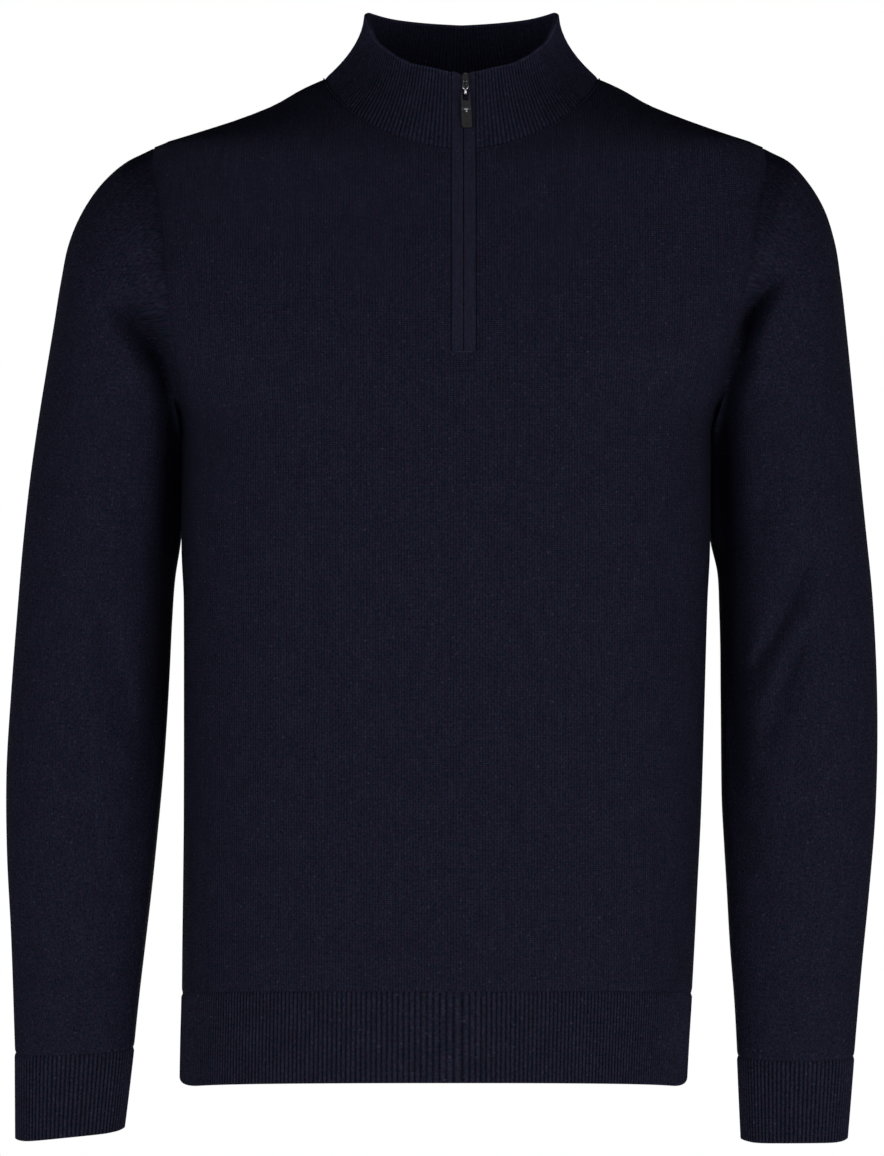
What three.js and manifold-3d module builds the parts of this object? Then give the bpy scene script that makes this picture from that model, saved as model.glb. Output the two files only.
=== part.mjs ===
// Quarter zip sweater in fine navy knit, in the hollow form it has when worn.
// Millimetres. X runs to the viewer's right, Y to the back, Z up.
// The origin lies midway between the two high points of the shoulders.
import * as THREE from 'three';
import Module from 'manifold-3d';

// Cloth thicknesses and seams
const panelWall = 1.6;
const ribWall = 2.4;
const collarWall = 3.4;
const ribRelief = 0.8;
const ribProud = 0.3;
const seamGap = 0.3;
const edgeGap = 0.36;

// Ribs round each band
const hemRibs = 352;
const cuffRibs = 80;
const collarRibs = 184;

// Lines of points along the plain inside of each band
const hemInnerLines = 44;
const cuffInnerLines = 26;
const collarInnerLines = 46;

// Neck
const neckHalf = 92.8;
const frontDrop = 56.2;
const frontDropPower = 1.4;
const backDrop = 9;
const backDropPower = 1.2;
const backFlat = 12.9;
const collarTopHalf = 66;
const collarTopFront = 78;
const collarTopBack = 50;
const collarFlareFront = 1.15;
const collarFlareSide = 1.9;
const collarRows = [0, 0.3, 0.62, 1];
const collarSeamShare = 0.25;
const collarStepRound = 0.004;
const collarStepUp = 0.05;

// Zip
const zipCentre = 0.9;
const tapeWidth = 7.6;
const tapeSplit = 0.3;
const tapeWall = 1.5;
const zipBottom = -191;
const zipLevels = [0, 0.3, 0.62, 0.72, 1];
const slitLeft = zipCentre - tapeSplit - tapeWidth - seamGap;
const slitRight = zipCentre + tapeSplit + tapeWidth + seamGap;

// Body sections are flattened ovals of this power
const sectionPower = 2.3;
const shoulderTip = -46.3;
const armpit = -240;
const sideCells = 9;

// Hem
const hemTopSide = -621.8;
const hemTopFront = -609.4;
const hemTopBack = -623.5;
const hemBottomSide = -686;
const hemBottomFront = -669.5;
const hemBottomBack = -688;
const hemCorner = 9;
const hemCornerStart = 66;
const cuffCorner = 2.5;
const cuffTilt = 2.8;
const cuffCornerPower = 8;

function table(names, rows) {
  return rows.map((row) => Object.fromEntries(names.map((name, k) => [name, row[k]])));
}

// Half widths left and right, half depth of the armhole, half depths front and back
const body = table(['height', 'left', 'right', 'arm', 'front', 'back'], [
  [0, 92.8, 92.8, 0, 36, 36],
  [-8, 109.5, 109.5, 0, 54, 60],
  [-18.8, 128, 128, 0, 68, 69],
  [-28.2, 151, 151, 0, 76.5, 75],
  [-38, 181, 178.5, 0, 83.5, 79.5],
  [shoulderTip, 208.4, 204.3, 0, 88.5, 83.5],
  [-56, 209, 205.5, 23, 94, 87.5],
  [-68, 207.4, 204, 34, 98, 90.5],
  [-82, 205, 200.5, 43.5, 101.5, 93.5],
  [-98, 201.8, 197.2, 52, 105, 97],
  [-115, 199.7, 194.6, 59, 108.5, 100],
  [-133, 197.8, 192, 64.5, 111.7, 102.5],
  [-151, 195.8, 188.6, 68, 114.3, 104],
  [-169, 194, 184.5, 69, 116.5, 105],
  [-187, 192, 180, 66, 118.3, 105.3],
  [-204, 190.6, 176, 56, 119.3, 105],
  [-219, 189.8, 172.6, 39, 119.8, 104.5],
  [-231, 189.5, 170.5, 19.5, 120, 104],
  [armpit, 189.4, 169.5, 0, 120, 103.5],
  [-262, 190, 169.4, 0, 119.6, 102.3],
  [-290, 190.6, 169.3, 0, 118.4, 100.5],
  [-320, 190.4, 168.8, 0, 116.4, 98],
  [-355, 188.8, 167, 0, 113.6, 95],
  [-400, 188.6, 165.6, 0, 110.8, 92],
  [-450, 188.6, 164.2, 0, 109.4, 91.3],
  [-500, 188.7, 162.5, 0, 109.8, 92.8],
  [-550, 189.2, 160, 0, 111.6, 95.6],
  [-590, 189.7, 158, 0, 113.4, 98.2],
  [-622, 190, 156.2, 0, 114.6, 100],
  [-654, 190.8, 154.2, 0, 115, 100.6],
  [-690, 191.4, 152.3, 0, 114, 100],
]);

// Rows of a panel: height at the outer edge, and at the middle of the front and of the back.
// The first rows end on the neckline, at an angle round the neck from its middle.
const neckRows = table(['outer', 'frontAngle', 'backAngle'], [
  [-0.2, 89, 89],
  [-4, 80, 80],
  [-9, 71, 71],
  [-18.8, 57, 55],
  [-28.2, 44, 39],
  [-38, 31, 23],
  [shoulderTip, 17, 8],
]);
const lowerRows = table(['outer', 'front', 'back'], [
  [-56, -56.2, -22],
  [-68, -72, -38],
  [-82, -88, -56],
  [-98, -104, -76],
  [-115, -121, -97],
  [-133, -138, -118],
  [-151, -155, -140],
  [-169, -173, -162],
  [-187, zipBottom, -183],
  [-204, -206, -203],
  [-219, -220, -219],
  [-231, -231.5, -231],
  [armpit, armpit, armpit],
  [-265, -263, -265],
  [-300, -296, -300],
  [-345, -340, -345],
  [-395, -388, -396],
  [-450, -442, -452],
  [-510, -500, -512],
  [-570, -560, -572],
  [hemTopSide, hemTopFront, hemTopBack],
]);
const shoulderRow = 6;
const armpitRow = 19;
const slitRow = 15;
const necklineRow = 7;

// Collar top edge height by angle round the neck, 0 at the front
const collarTop = table(['angle', 'height'], [
  [0, -4],
  [20, 1.3],
  [30, 3.8],
  [42, 9.5],
  [52, 16],
  [62, 22.5],
  [70, 30],
  [80, 38],
  [92, 43.5],
  [105, 45.5],
  [140, 44.2],
  [180, 42.8],
]);

// Sleeve rings: outer point, inner point, half depth and how far back the ring sits
const ringNames = ['outX', 'outZ', 'inX', 'inZ', 'depth', 'back'];
const sleeveRings = {
  right: table(ringNames, [
    [-226.8, -55.5, -191.6, -243, 64, 0],
    [-243, -69, -190.6, -252, 61, 1],
    [-257.5, -89, -190.7, -262, 59, 2],
    [-266.7, -109.5, -190.9, -275, 58, 3],
    [-272.5, -136.7, -191.1, -292, 57, 4],
    [-277.1, -165, -193.7, -313, 56.5, 5],
    [-283, -200, -196, -340, 56, 6],
    [-288.7, -235, -198, -370, 55, 7],
    [-294, -272, -199.4, -402, 54, 8],
    [-298.7, -315, -201.2, -438, 52, 8],
    [-302.5, -362, -203.6, -475, 50, 6],
    [-306.3, -415, -206.8, -512, 48, 3],
    [-309.2, -470, -210.2, -548, 45, -1],
    [-308.6, -522, -214.4, -586, 41.5, -5],
    [-305.4, -580, -218.4, -622, 37, -9],
    [-302.3, -660.3, -221.8, -656.9, 31, -13],
  ]),
  left: table(ringNames, [
    [222, -55.5, 171.3, -243, 63.5, 0],
    [235, -69, 170.2, -252, 60.5, 1],
    [246.5, -87.5, 170.1, -262, 58.5, 2],
    [253.8, -109.5, 170, -275, 57.5, 3],
    [258, -136, 170, -292, 56.5, 4],
    [261.5, -166, 170.5, -312, 56, 5],
    [265.5, -205, 175.2, -335, 55.5, 6],
    [269, -241, 176.5, -362, 55, 7],
    [272.5, -277, 177.1, -388, 54, 8],
    [276.1, -312, 177.1, -414, 53, 8],
    [279.3, -344, 177.1, -440, 52, 7],
    [281.3, -374, 177.1, -466, 50.5, 6],
    [282.7, -412, 177.3, -492, 48.5, 4],
    [282.8, -455, 178.4, -516, 46.5, 2],
    [281, -500, 180, -548, 44, -2],
    [276.4, -552, 182, -588, 40, -6],
    [270.8, -605, 184.9, -628, 35.5, -10],
    [265.6, -662.7, 186.6, -662.7, 31, -13],
  ]),
};
const cuffs = {
  right: { outX: -301.8, outZ: -721, inX: -228.2, inZ: -713.6, depth: 27, back: -15 },
  left: { outX: 260.9, outZ: -720.8, inX: 189, inZ: -721.2, depth: 27, back: -15 },
};
const anglesBlendRings = 5;
const crestReach = 0.16;
const armpitReach = 0.6;
const armpitSteps = 3;

// Folds: face, path in X and Z, depth at each end, half width
const folds = [
  { face: -1, path: [[-238, -149], [-226, -160], [-210, -182], [-199, -200], [-190, -222], [-188, -243]],
    start: 3, end: 15, width: 9 },
  { face: -1, path: [[223, -131], [207, -142], [193, -161], [186, -181], [179, -203], [174, -226], [170, -245]],
    start: 3, end: 15, width: 9 },
  { face: 1, path: [[-236, -160], [-212, -186], [-199, -206], [-188, -243]], start: 2, end: 13, width: 9 },
  { face: 1, path: [[222, -140], [196, -172], [181, -206], [170, -245]], start: 2, end: 13, width: 9 },
  { face: -1, path: [[238, -309], [226, -345], [211, -378], [198, -402], [186, -424]],
    start: 4, end: 5, width: 9 },
  { face: -1, path: [[238, -363], [225, -395], [215, -420], [202, -458]], start: 3.5, end: 4, width: 9 },
  { face: -1, path: [[261, -323], [247, -398]], start: 2, end: 2, width: 9 },
  { face: -1, path: [[-239, -354], [-236, -387], [-229, -410], [-225, -460]], start: 3.5, end: 3.5, width: 10 },
  { face: -1, path: [[-112, -300], [-80, -517]], start: 2.4, end: 2.4, width: 17 },
  { face: -1, path: [[133, -318], [150, -395]], start: 2.6, end: 2.6, width: 14 },
  { face: 1, path: [[-60, -300], [-72, -520]], start: 2.2, end: 2.2, width: 18 },
  { face: 1, path: [[70, -330], [84, -540]], start: 2.4, end: 2.4, width: 18 },
];
const foldTaper = 0.22;
const foldFadeDepth = 30;

// Slider and pull tab, measured in a frame that lies on the collar at the zip
const sliderTop = 1;
const sliderLength = 11.8;
const sliderHalf = 2.3;
const sliderBackHalf = 2.8;
const sliderPlate = 1.3;
const sliderClear = 0.3;
const sliderCorner = 1.2;
const sliderBackTrim = 0.5;
const sliderBackCorner = 1;
const joined = 0.4;
const postHalf = 1.1;
const postFromTop = 1.2;
const postFromEnd = 2.6;
const bailHalf = 0.8;
const bailStart = 6.5;
const bailEnd = 18.2;
const bailHeight = 3.8;
const bailBar = 1;
const pullBar = 1;
const pullHinge = 16.3;
const pullEyeLength = 4.9;
const pullEyeHalf = 1.7;
const pullHalf = 3.1;
const pullLength = 22.5;
const pullLean = 0.045;
const pullWall = 1;
const pullLift = 1.95;
const pullCorner = 1;
const cutMargin = 1;

const degree = Math.PI / 180;
const add = (a, b, k = 1) => [a[0] + b[0] * k, a[1] + b[1] * k, a[2] + b[2] * k];
const minus = (a, b) => [a[0] - b[0], a[1] - b[1], a[2] - b[2]];
const dot = (a, b) => a[0] * b[0] + a[1] * b[1] + a[2] * b[2];
const size = (a) => Math.sqrt(dot(a, a));
const unit = (a) => add([0, 0, 0], a, 1 / (size(a) || 1));
const between = (a, b, t) => add(a, minus(b, a), t);
const cross = (a, b) => [
  a[1] * b[2] - a[2] * b[1],
  a[2] * b[0] - a[0] * b[2],
  a[0] * b[1] - a[1] * b[0],
];

// Smooth curve through one column of a table, without overshoot
function curve(rows, key, column, at) {
  const up = rows[1][key] > rows[0][key] ? 1 : -1;
  const last = rows.length - 1;
  const place = at * up;
  if (place <= rows[0][key] * up) return rows[0][column];
  if (place >= rows[last][key] * up) return rows[last][column];
  let k = 0;
  while (rows[k + 1][key] * up < place) k += 1;
  const slope = (i) => (rows[i + 1][column] - rows[i][column]) / (rows[i + 1][key] - rows[i][key]);
  const tangent = (i) => {
    if (i === 0) return slope(0);
    if (i === last) return slope(last - 1);
    const before = slope(i - 1);
    const after = slope(i);
    return before * after <= 0 ? 0 : (2 * before * after) / (before + after);
  };
  const step = rows[k + 1][key] - rows[k][key];
  const t = (at - rows[k][key]) / step;
  const t2 = t * t;
  const t3 = t2 * t;
  return rows[k][column] * (2 * t3 - 3 * t2 + 1) + tangent(k) * step * (t3 - 2 * t2 + t)
    + rows[k + 1][column] * (3 * t2 - 2 * t3) + tangent(k + 1) * step * (t3 - t2);
}

const tipSection = body.findIndex((row) => row.height === shoulderTip);
const armpitSection = body.findIndex((row) => row.height === armpit);
const shoulderSections = body.slice(0, tipSection + 1);
const sideSections = body.slice(tipSection);
const armSquares = body.slice(tipSection, armpitSection + 1).map((row) => (
  { height: row.height, square: row.arm ** 2 }
));
const depthOf = (face, z) => curve(body, 'height', face < 0 ? 'front' : 'back', z);

// Half depth of the armhole, round at both its ends
function armDepth(z) {
  return z > shoulderTip || z < armpit ? 0 : Math.sqrt(Math.max(0, curve(armSquares, 'height', 'square', z)));
}

// Half width of the whole oval whose point at the armhole's depth lies on the armhole
function halfWidth(face, side, z) {
  const arm = armDepth(z) / depthOf(face, z);
  const rows = z > shoulderTip ? shoulderSections : sideSections;
  return curve(rows, 'height', side < 0 ? 'left' : 'right', z) / (1 - arm ** sectionPower) ** (1 / sectionPower);
}

// Depth of all folds at a point of the front or back
function foldDepth(face, x, z) {
  let depth = 0;
  for (const fold of folds) {
    if (fold.face !== face) continue;
    const pieces = fold.path.length - 1;
    let best = Infinity;
    let along = 0;
    for (let k = 0; k < pieces; k += 1) {
      const [ax, az] = fold.path[k];
      const [bx, bz] = fold.path[k + 1];
      const length2 = (bx - ax) ** 2 + (bz - az) ** 2;
      const t = Math.min(1, Math.max(0, ((x - ax) * (bx - ax) + (z - az) * (bz - az)) / length2));
      const gap = Math.hypot(x - ax - t * (bx - ax), z - az - t * (bz - az));
      if (gap < best) {
        best = gap;
        along = (k + t) / pieces;
      }
    }
    const ends = Math.min(1, Math.min(along, 1 - along) / foldTaper);
    const taper = ends * ends * (3 - 2 * ends);
    depth += (fold.start + (fold.end - fold.start) * along) * taper * Math.exp(-((best / fold.width) ** 2));
  }
  return depth;
}

// Point of a body panel: s runs 0 at the middle to 1 at the outer edge
function bodyPoint(face, side, innerX, innerZ, outerZ, s) {
  const z = innerZ + (outerZ - innerZ) * s * s;
  const arm = armDepth(outerZ) / depthOf(face, outerZ);
  const outerAngle = Math.acos(arm ** (sectionPower / 2));
  const innerShare = Math.abs(innerX) / halfWidth(face, side, innerZ);
  const innerAngle = Math.asin(innerShare ** (sectionPower / 2));
  const angle = innerAngle + (outerAngle - innerAngle) * s;
  const x = side * halfWidth(face, side, z) * Math.sin(angle) ** (2 / sectionPower);
  const deep = depthOf(face, z) * Math.max(0, Math.cos(angle)) ** (2 / sectionPower);
  const fold = foldDepth(face, x, z) * Math.min(1, deep / foldFadeDepth);
  return [x, face * (deep + seamGap / 2 - fold), z];
}

// Collects points and triangles of one solid
class Solid {
  constructor() {
    this.points = [];
    this.faces = [];
  }

  add(point) {
    this.points.push(point);
    return this.points.length - 1;
  }

  grid(rows, flip) {
    for (let i = 0; i + 1 < rows.length; i += 1) {
      for (let j = 0; j + 1 < rows[i].length; j += 1) {
        const [a, b, c, d] = [rows[i][j], rows[i][j + 1], rows[i + 1][j + 1], rows[i + 1][j]];
        this.faces.push(flip ? [a, c, b] : [a, b, c], flip ? [a, d, c] : [a, c, d]);
      }
    }
  }

  // Joins two edges whose points may differ in number
  link(first, second, flip) {
    let i = 0;
    let j = 0;
    const place = (chain, k) => k / (chain.length - 1);
    while (i < first.length - 1 || j < second.length - 1) {
      const forward = j >= second.length - 1
        || (i < first.length - 1 && place(first, i + 1) <= place(second, j + 1));
      const face = forward ? [first[i + 1], first[i], second[j]] : [first[i], second[j], second[j + 1]];
      this.faces.push(flip ? [face[0], face[2], face[1]] : face);
      if (forward) i += 1;
      else j += 1;
    }
  }

  mesh(name, material) {
    let volume = 0;
    for (const [a, b, c] of this.faces) {
      volume += dot(this.points[a], cross(this.points[b], this.points[c]));
    }
    const faces = volume < 0 ? this.faces.map(([a, b, c]) => [a, c, b]) : this.faces;
    const geometry = new THREE.BufferGeometry();
    geometry.setAttribute('position', new THREE.Float32BufferAttribute(this.points.flat(), 3));
    geometry.setIndex(faces.flat());
    geometry.computeVertexNormals();
    const mesh = new THREE.Mesh(geometry, material);
    mesh.name = name;
    return mesh;
  }
}

// Wall between an outer and an inner set of points, on the same cells; open edges are closed
function wall(outer, inner, cells) {
  const solid = new Solid();
  const count = outer.length;
  solid.points = [...outer, ...inner];
  const edges = new Map();
  for (const cell of cells) {
    solid.faces.push([cell[0], cell[1], cell[2]], [cell[0], cell[2], cell[3]]);
    const back = cell.map((k) => k + count);
    solid.faces.push([back[0], back[2], back[1]], [back[0], back[3], back[2]]);
    cell.forEach((from, k) => edges.set(`${from},${cell[(k + 1) % 4]}`, [from, cell[(k + 1) % 4]]));
  }
  for (const [from, to] of edges.values()) {
    if (edges.has(`${to},${from}`)) continue;
    solid.faces.push([to, from, from + count], [to, from + count, to + count]);
  }
  return solid;
}

// A band with open ends or closed round: outer rows, inner rows with their own spacing
function band(outerRows, innerRows, closed) {
  const solid = new Solid();
  const place = (rows) => rows.map((row) => {
    const line = row.map((point) => solid.add(point));
    return closed ? [...line, line[0]] : line;
  });
  const outer = place(outerRows);
  const inner = place(innerRows);
  const lastOuter = outer.length - 1;
  const lastInner = inner.length - 1;
  solid.grid(outer, false);
  solid.grid(inner, true);
  solid.link(outer[0], inner[0], false);
  solid.link(outer[lastOuter], inner[lastInner], true);
  if (!closed) {
    const end = (rows, last) => rows.map((row) => row[last ? row.length - 1 : 0]);
    solid.link(end(outer, false), end(inner, false), true);
    solid.link(end(outer, true), end(inner, true), false);
  }
  return solid;
}

// One body panel: its points, outward normals and inner points, all by row and column
function bodyPanel(face) {
  const heights = (row) => (face < 0 ? row.front : row.back);
  const rows = [];
  for (const row of neckRows) {
    const angle = (face < 0 ? row.frontAngle : row.backAngle) * degree;
    const drop = face < 0 ? frontDrop * Math.cos(angle) ** frontDropPower
      : backDrop * Math.cos(angle) ** backDropPower;
    const x = neckHalf * Math.sin(angle);
    rows.push({ outer: row.outer, inner: -drop, left: -x, right: x });
  }
  for (const row of lowerRows) {
    const left = face < 0 ? slitLeft : -backFlat;
    const right = face < 0 ? slitRight : backFlat;
    rows.push({ outer: row.outer, inner: heights(row), left, right });
  }
  const points = rows.map((row) => {
    const line = [];
    for (let k = sideCells; k >= 0; k -= 1) {
      line.push(bodyPoint(face, -1, row.left, row.inner, row.outer, k / sideCells));
    }
    for (let k = 0; k <= sideCells; k += 1) {
      line.push(bodyPoint(face, 1, row.right, row.inner, row.outer, k / sideCells));
    }
    return line;
  });
  const openRows = face < 0 ? slitRow : shoulderRow;
  const lastRow = rows.length - 1;
  const lastColumn = 2 * sideCells + 1;
  const straightRow = face < 0 ? necklineRow : Infinity;
  const normals = points.map((line, i) => line.map((point, j) => {
    const left = j === sideCells + 1 && i <= openRows ? j : Math.max(0, j - 1);
    const right = j === sideCells && i <= openRows ? j : Math.min(lastColumn, j + 1);
    const across = minus(line[right], line[left]);
    const down = minus(points[Math.min(lastRow, i + 1)][j], points[Math.max(0, i - 1)][j]);
    const normal = add([0, 0, 0], cross(across, down), face);
    const onSeam = (j === 0 || j === lastColumn) && (i <= shoulderRow || i >= armpitRow);
    const onSlit = (j === sideCells || j === sideCells + 1) && i >= straightRow && i <= openRows;
    if (onSeam) normal[1] = 0;
    if (onSlit) normal[0] = 0;
    if (i === lastRow) normal[2] = 0;
    return unit(normal);
  }));
  normals[0] = normals[1].map((normal) => unit([normal[0], 0, normal[2]]));
  const inner = points.map((line, i) => line.map((point, j) => add(point, normals[i][j], -panelWall)));
  const cells = [];
  const width = lastColumn + 1;
  for (let i = 0; i < lastRow; i += 1) {
    for (let j = 0; j < lastColumn; j += 1) {
      if (j === sideCells && i < openRows) continue;
      cells.push([i * width + j, i * width + j + 1, (i + 1) * width + j + 1, (i + 1) * width + j]);
    }
  }
  return { face, points, normals, inner, cells, solid: wall(points.flat(), inner.flat(), cells) };
}

const frontPanel = bodyPanel(-1);
const backPanel = bodyPanel(1);

// Edge of a panel with its normal and the direction that leads off the panel
function edgeSpot(panel, row, column, towards) {
  const point = panel.points[row][column];
  const normal = panel.normals[row][column];
  const off = minus(point, towards);
  return { point, normal, inner: panel.inner[row][column], off: unit(add(off, normal, -dot(off, normal))) };
}

function squareOff(spots) {
  spots.forEach((spot, k) => {
    const before = spots[Math.max(0, k - 1)].point;
    const after = spots[Math.min(spots.length - 1, k + 1)].point;
    const along = minus(after, before);
    const line = unit(add(along, spot.normal, -dot(along, spot.normal)));
    spot.off = unit(add(spot.off, line, -dot(spot.off, line)));
  });
}

function meanSpot(a, b) {
  const normal = unit(add(a.normal, b.normal));
  return {
    point: between(a.point, b.point, 0.5),
    inner: between(a.inner, b.inner, 0.5),
    normal,
    off: unit(add(a.off, b.off)),
  };
}

// Armhole loop from the shoulder down the front to the armpit and up the back
function armhole(side) {
  const column = side < 0 ? 0 : 2 * sideCells + 1;
  const inside = side < 0 ? 1 : 2 * sideCells;
  const half = (panel) => {
    const spots = [];
    for (let row = shoulderRow; row <= armpitRow; row += 1) {
      let towards = panel.points[row][inside];
      if (row === shoulderRow) towards = panel.points[row - 1][column];
      if (row === armpitRow) towards = panel.points[row + 1][column];
      spots.push(edgeSpot(panel, row, column, towards));
    }
    const ends = [spots[0].off, spots[spots.length - 1].off];
    squareOff(spots);
    [spots[0].off, spots[spots.length - 1].off] = ends;
    return spots;
  };
  const front = half(frontPanel);
  const back = half(backPanel);
  const last = front.length - 1;
  const loop = [meanSpot(front[0], back[0]), ...front.slice(1, last), meanSpot(front[last], back[last])];
  return [...loop, ...back.slice(1, last).reverse()];
}

const ringPoint = (ring, angle, face) => {
  const share = Math.cos(angle);
  const point = [
    (ring.outX + ring.inX) / 2 + ((ring.outX - ring.inX) / 2) * share,
    ring.back + face * ring.depth * Math.sin(angle),
    (ring.outZ + ring.inZ) / 2 + ((ring.outZ - ring.inZ) / 2) * share,
  ];
  point[1] -= face * foldDepth(face, point[0], point[2]) * Math.sin(angle);
  return point;
};

const ringAxis = (ring, side) => unit([(ring.inZ - ring.outZ) * -side, 0, (ring.inX - ring.outX) * side]);

function sleeve(side) {
  const loop = armhole(side);
  const count = loop.length;
  const half = count / 2;
  const sections = sleeveRings[side < 0 ? 'right' : 'left'];
  const faceOf = (k) => (k <= half ? -1 : 1);
  const stepOf = (k) => (k <= half ? k : count - k);
  const angleOf = (k, level) => {
    const even = (stepOf(k) / half) * Math.PI;
    const fallen = (shoulderTip - loop[k].point[2]) / (shoulderTip - armpit);
    const own = Math.acos(Math.min(1, Math.max(-1, 1 - 2 * fallen)));
    return own + (even - own) * Math.min(1, level / anglesBlendRings);
  };
  const rings = sections.map((ring, level) => (
    loop.map((spot, k) => ringPoint(ring, angleOf(k, level), faceOf(k)))
  ));
  const start = loop.map((spot) => add(spot.point, spot.off, edgeGap));
  const crest = loop.map((spot, k) => {
    const nearArmpit = Math.max(0, stepOf(k) - half + armpitSteps) / armpitSteps;
    const share = crestReach + (armpitReach - crestReach) * nearArmpit;
    const reach = size(minus(rings[0][k], spot.point)) * share;
    const control = add(spot.point, spot.off, reach);
    const low = between(spot.point, control, 0.5);
    return between(low, between(control, rings[0][k], 0.5), 0.5);
  });
  const points = [start, crest, ...rings];
  const lastRing = points.length - 1;
  const axis = ringAxis(sections[sections.length - 1], side);
  const normals = points.map((ring, i) => ring.map((point, k) => {
    if (i === 0) return loop[k].normal;
    const around = minus(ring[(k + 1) % count], ring[(k + count - 1) % count]);
    const down = minus(points[Math.min(lastRing, i + 1)][k], points[i - 1][k]);
    const normal = add([0, 0, 0], cross(around, down), side);
    return unit(i === lastRing ? add(normal, axis, -dot(normal, axis)) : normal);
  }));
  const inner = points.map((ring, i) => ring.map((point, k) => {
    if (i === 0) return add(loop[k].inner, loop[k].off, edgeGap);
    return add(point, normals[i][k], -panelWall);
  }));
  const cells = [];
  for (let i = 0; i < lastRing; i += 1) {
    for (let k = 0; k < count; k += 1) {
      const next = (k + 1) % count;
      const cell = [i * count + k, i * count + next, (i + 1) * count + next, (i + 1) * count + k];
      cells.push(side < 0 ? cell : cell.reverse());
    }
  }
  return { points, normals, solid: wall(points.flat(), inner.flat(), cells) };
}

// Ribbed tube between two sleeve rings
function cuff(side) {
  const sections = sleeveRings[side < 0 ? 'right' : 'left'];
  const upper = sections[sections.length - 1];
  const lower = cuffs[side < 0 ? 'right' : 'left'];
  const axis = ringAxis(upper, side);
  const corner = (angle) => cuffCorner * Math.abs(Math.cos(angle)) ** cuffCornerPower;
  const row = (ring, drop, lift, columns, offset) => {
    const line = [];
    for (let k = 0; k < columns; k += 1) {
      const turn = (k / columns) * 2 * Math.PI;
      const face = turn <= Math.PI ? -1 : 1;
      const angle = face < 0 ? turn : 2 * Math.PI - turn;
      const share = Math.cos(angle);
      const halfX = (ring.outX - ring.inX) / 2;
      const halfZ = (ring.outZ - ring.inZ) / 2;
      const wide = Math.hypot(halfX, halfZ);
      const point = [
        (ring.outX + ring.inX) / 2 + halfX * share,
        ring.back + face * ring.depth * Math.sin(angle),
        (ring.outZ + ring.inZ) / 2 + halfZ * share
          + lift * (corner(angle) - face * cuffTilt * Math.sin(angle)),
      ];
      const outward = unit([
        (halfX / wide) * share * ring.depth,
        face * Math.sin(angle) * wide,
        (halfZ / wide) * share * ring.depth,
      ]);
      line.push(add(add(point, axis, drop), outward, offset(k)));
    }
    return line;
  };
  const zigzag = (k) => (k % 2 ? ribProud - ribRelief : ribProud);
  const inside = () => ribProud - ribWall;
  const fine = 2 * cuffRibs;
  const outer = [row(upper, edgeGap, 0, fine, zigzag), row(lower, 0, 1, fine, zigzag)];
  const inner = [
    row(upper, edgeGap, 0, cuffInnerLines, inside),
    row(lower, 0, 1, cuffInnerLines, inside),
  ];
  return band(outer, inner, true);
}

// Ribbed hem band, one piece for the front and one for the back
function hemBand(face) {
  const topMiddle = face < 0 ? hemTopFront : hemTopBack;
  const bottomMiddle = face < 0 ? hemBottomFront : hemBottomBack;
  const spot = (turn, level, offset) => {
    const side = turn < 0 ? -1 : 1;
    const angle = Math.abs(turn);
    const s = angle / 90;
    const past = Math.max(0, (angle - hemCornerStart) / (90 - hemCornerStart));
    const top = topMiddle + (hemTopSide - topMiddle) * s * s - edgeGap;
    const bottom = bottomMiddle + (hemBottomSide - bottomMiddle) * s * s + hemCorner * past * past;
    const z = top + (bottom - top) * level;
    const share = Math.sin(angle * degree) ** (2 / sectionPower);
    const deep = Math.max(0, Math.cos(angle * degree)) ** (2 / sectionPower);
    const half = halfWidth(face, side, z);
    const depth = depthOf(face, z);
    const outward = unit([
      side * share ** (sectionPower - 1) / half,
      (face * deep ** (sectionPower - 1)) / depth,
      0,
    ]);
    const fold = foldDepth(face, side * half * share, z);
    const point = [side * half * share, face * (depth * deep + seamGap / 2 - fold), z];
    return add(point, outward, offset);
  };
  const lines = (columns, offset) => [0, 1].map((level) => {
    const line = [];
    for (let k = 0; k <= columns; k += 1) {
      line.push(spot(-90 + (180 * k) / columns, level, offset(k)));
    }
    return line;
  });
  const zigzag = (k) => (k % 2 ? ribProud : ribProud - ribRelief);
  return band(lines(hemRibs, zigzag), lines(hemInnerLines, () => ribProud - ribWall), false);
}

// Neckline from the slit on the left, round the back, to the slit on the right
function neckline() {
  const spots = [];
  const half = (panel, column, inside, rows) => rows.map((row) => {
    const towards = row === necklineRow || (panel === backPanel && row === shoulderRow)
      ? panel.points[row + 1][column] : panel.points[row][inside];
    return edgeSpot(panel, row, column, towards);
  });
  const upRows = [7, 6, 5, 4, 3, 2, 1, 0];
  const backRows = [0, 1, 2, 3, 4, 5, 6];
  const left = sideCells;
  const right = sideCells + 1;
  spots.push(...half(frontPanel, left, left - 1, upRows));
  spots.push(...half(backPanel, left, left - 1, backRows));
  spots.push(...half(backPanel, right, right + 1, [...backRows].reverse()));
  spots.push(...half(frontPanel, right, right + 1, [...upRows].reverse()));
  squareOff(spots);
  return spots;
}

const neckSpots = neckline();
const neckLengths = [0];
for (let k = 1; k < neckSpots.length; k += 1) {
  neckLengths.push(neckLengths[k - 1] + size(minus(neckSpots[k].point, neckSpots[k - 1].point)));
}

function neckSpotAt(share) {
  const at = share * neckLengths[neckLengths.length - 1];
  let k = 0;
  while (k < neckLengths.length - 2 && neckLengths[k + 1] < at) k += 1;
  const t = (at - neckLengths[k]) / (neckLengths[k + 1] - neckLengths[k]);
  return {
    point: between(neckSpots[k].point, neckSpots[k + 1].point, t),
    normal: unit(between(neckSpots[k].normal, neckSpots[k + 1].normal, t)),
    off: unit(between(neckSpots[k].off, neckSpots[k + 1].off, t)),
  };
}

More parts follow.
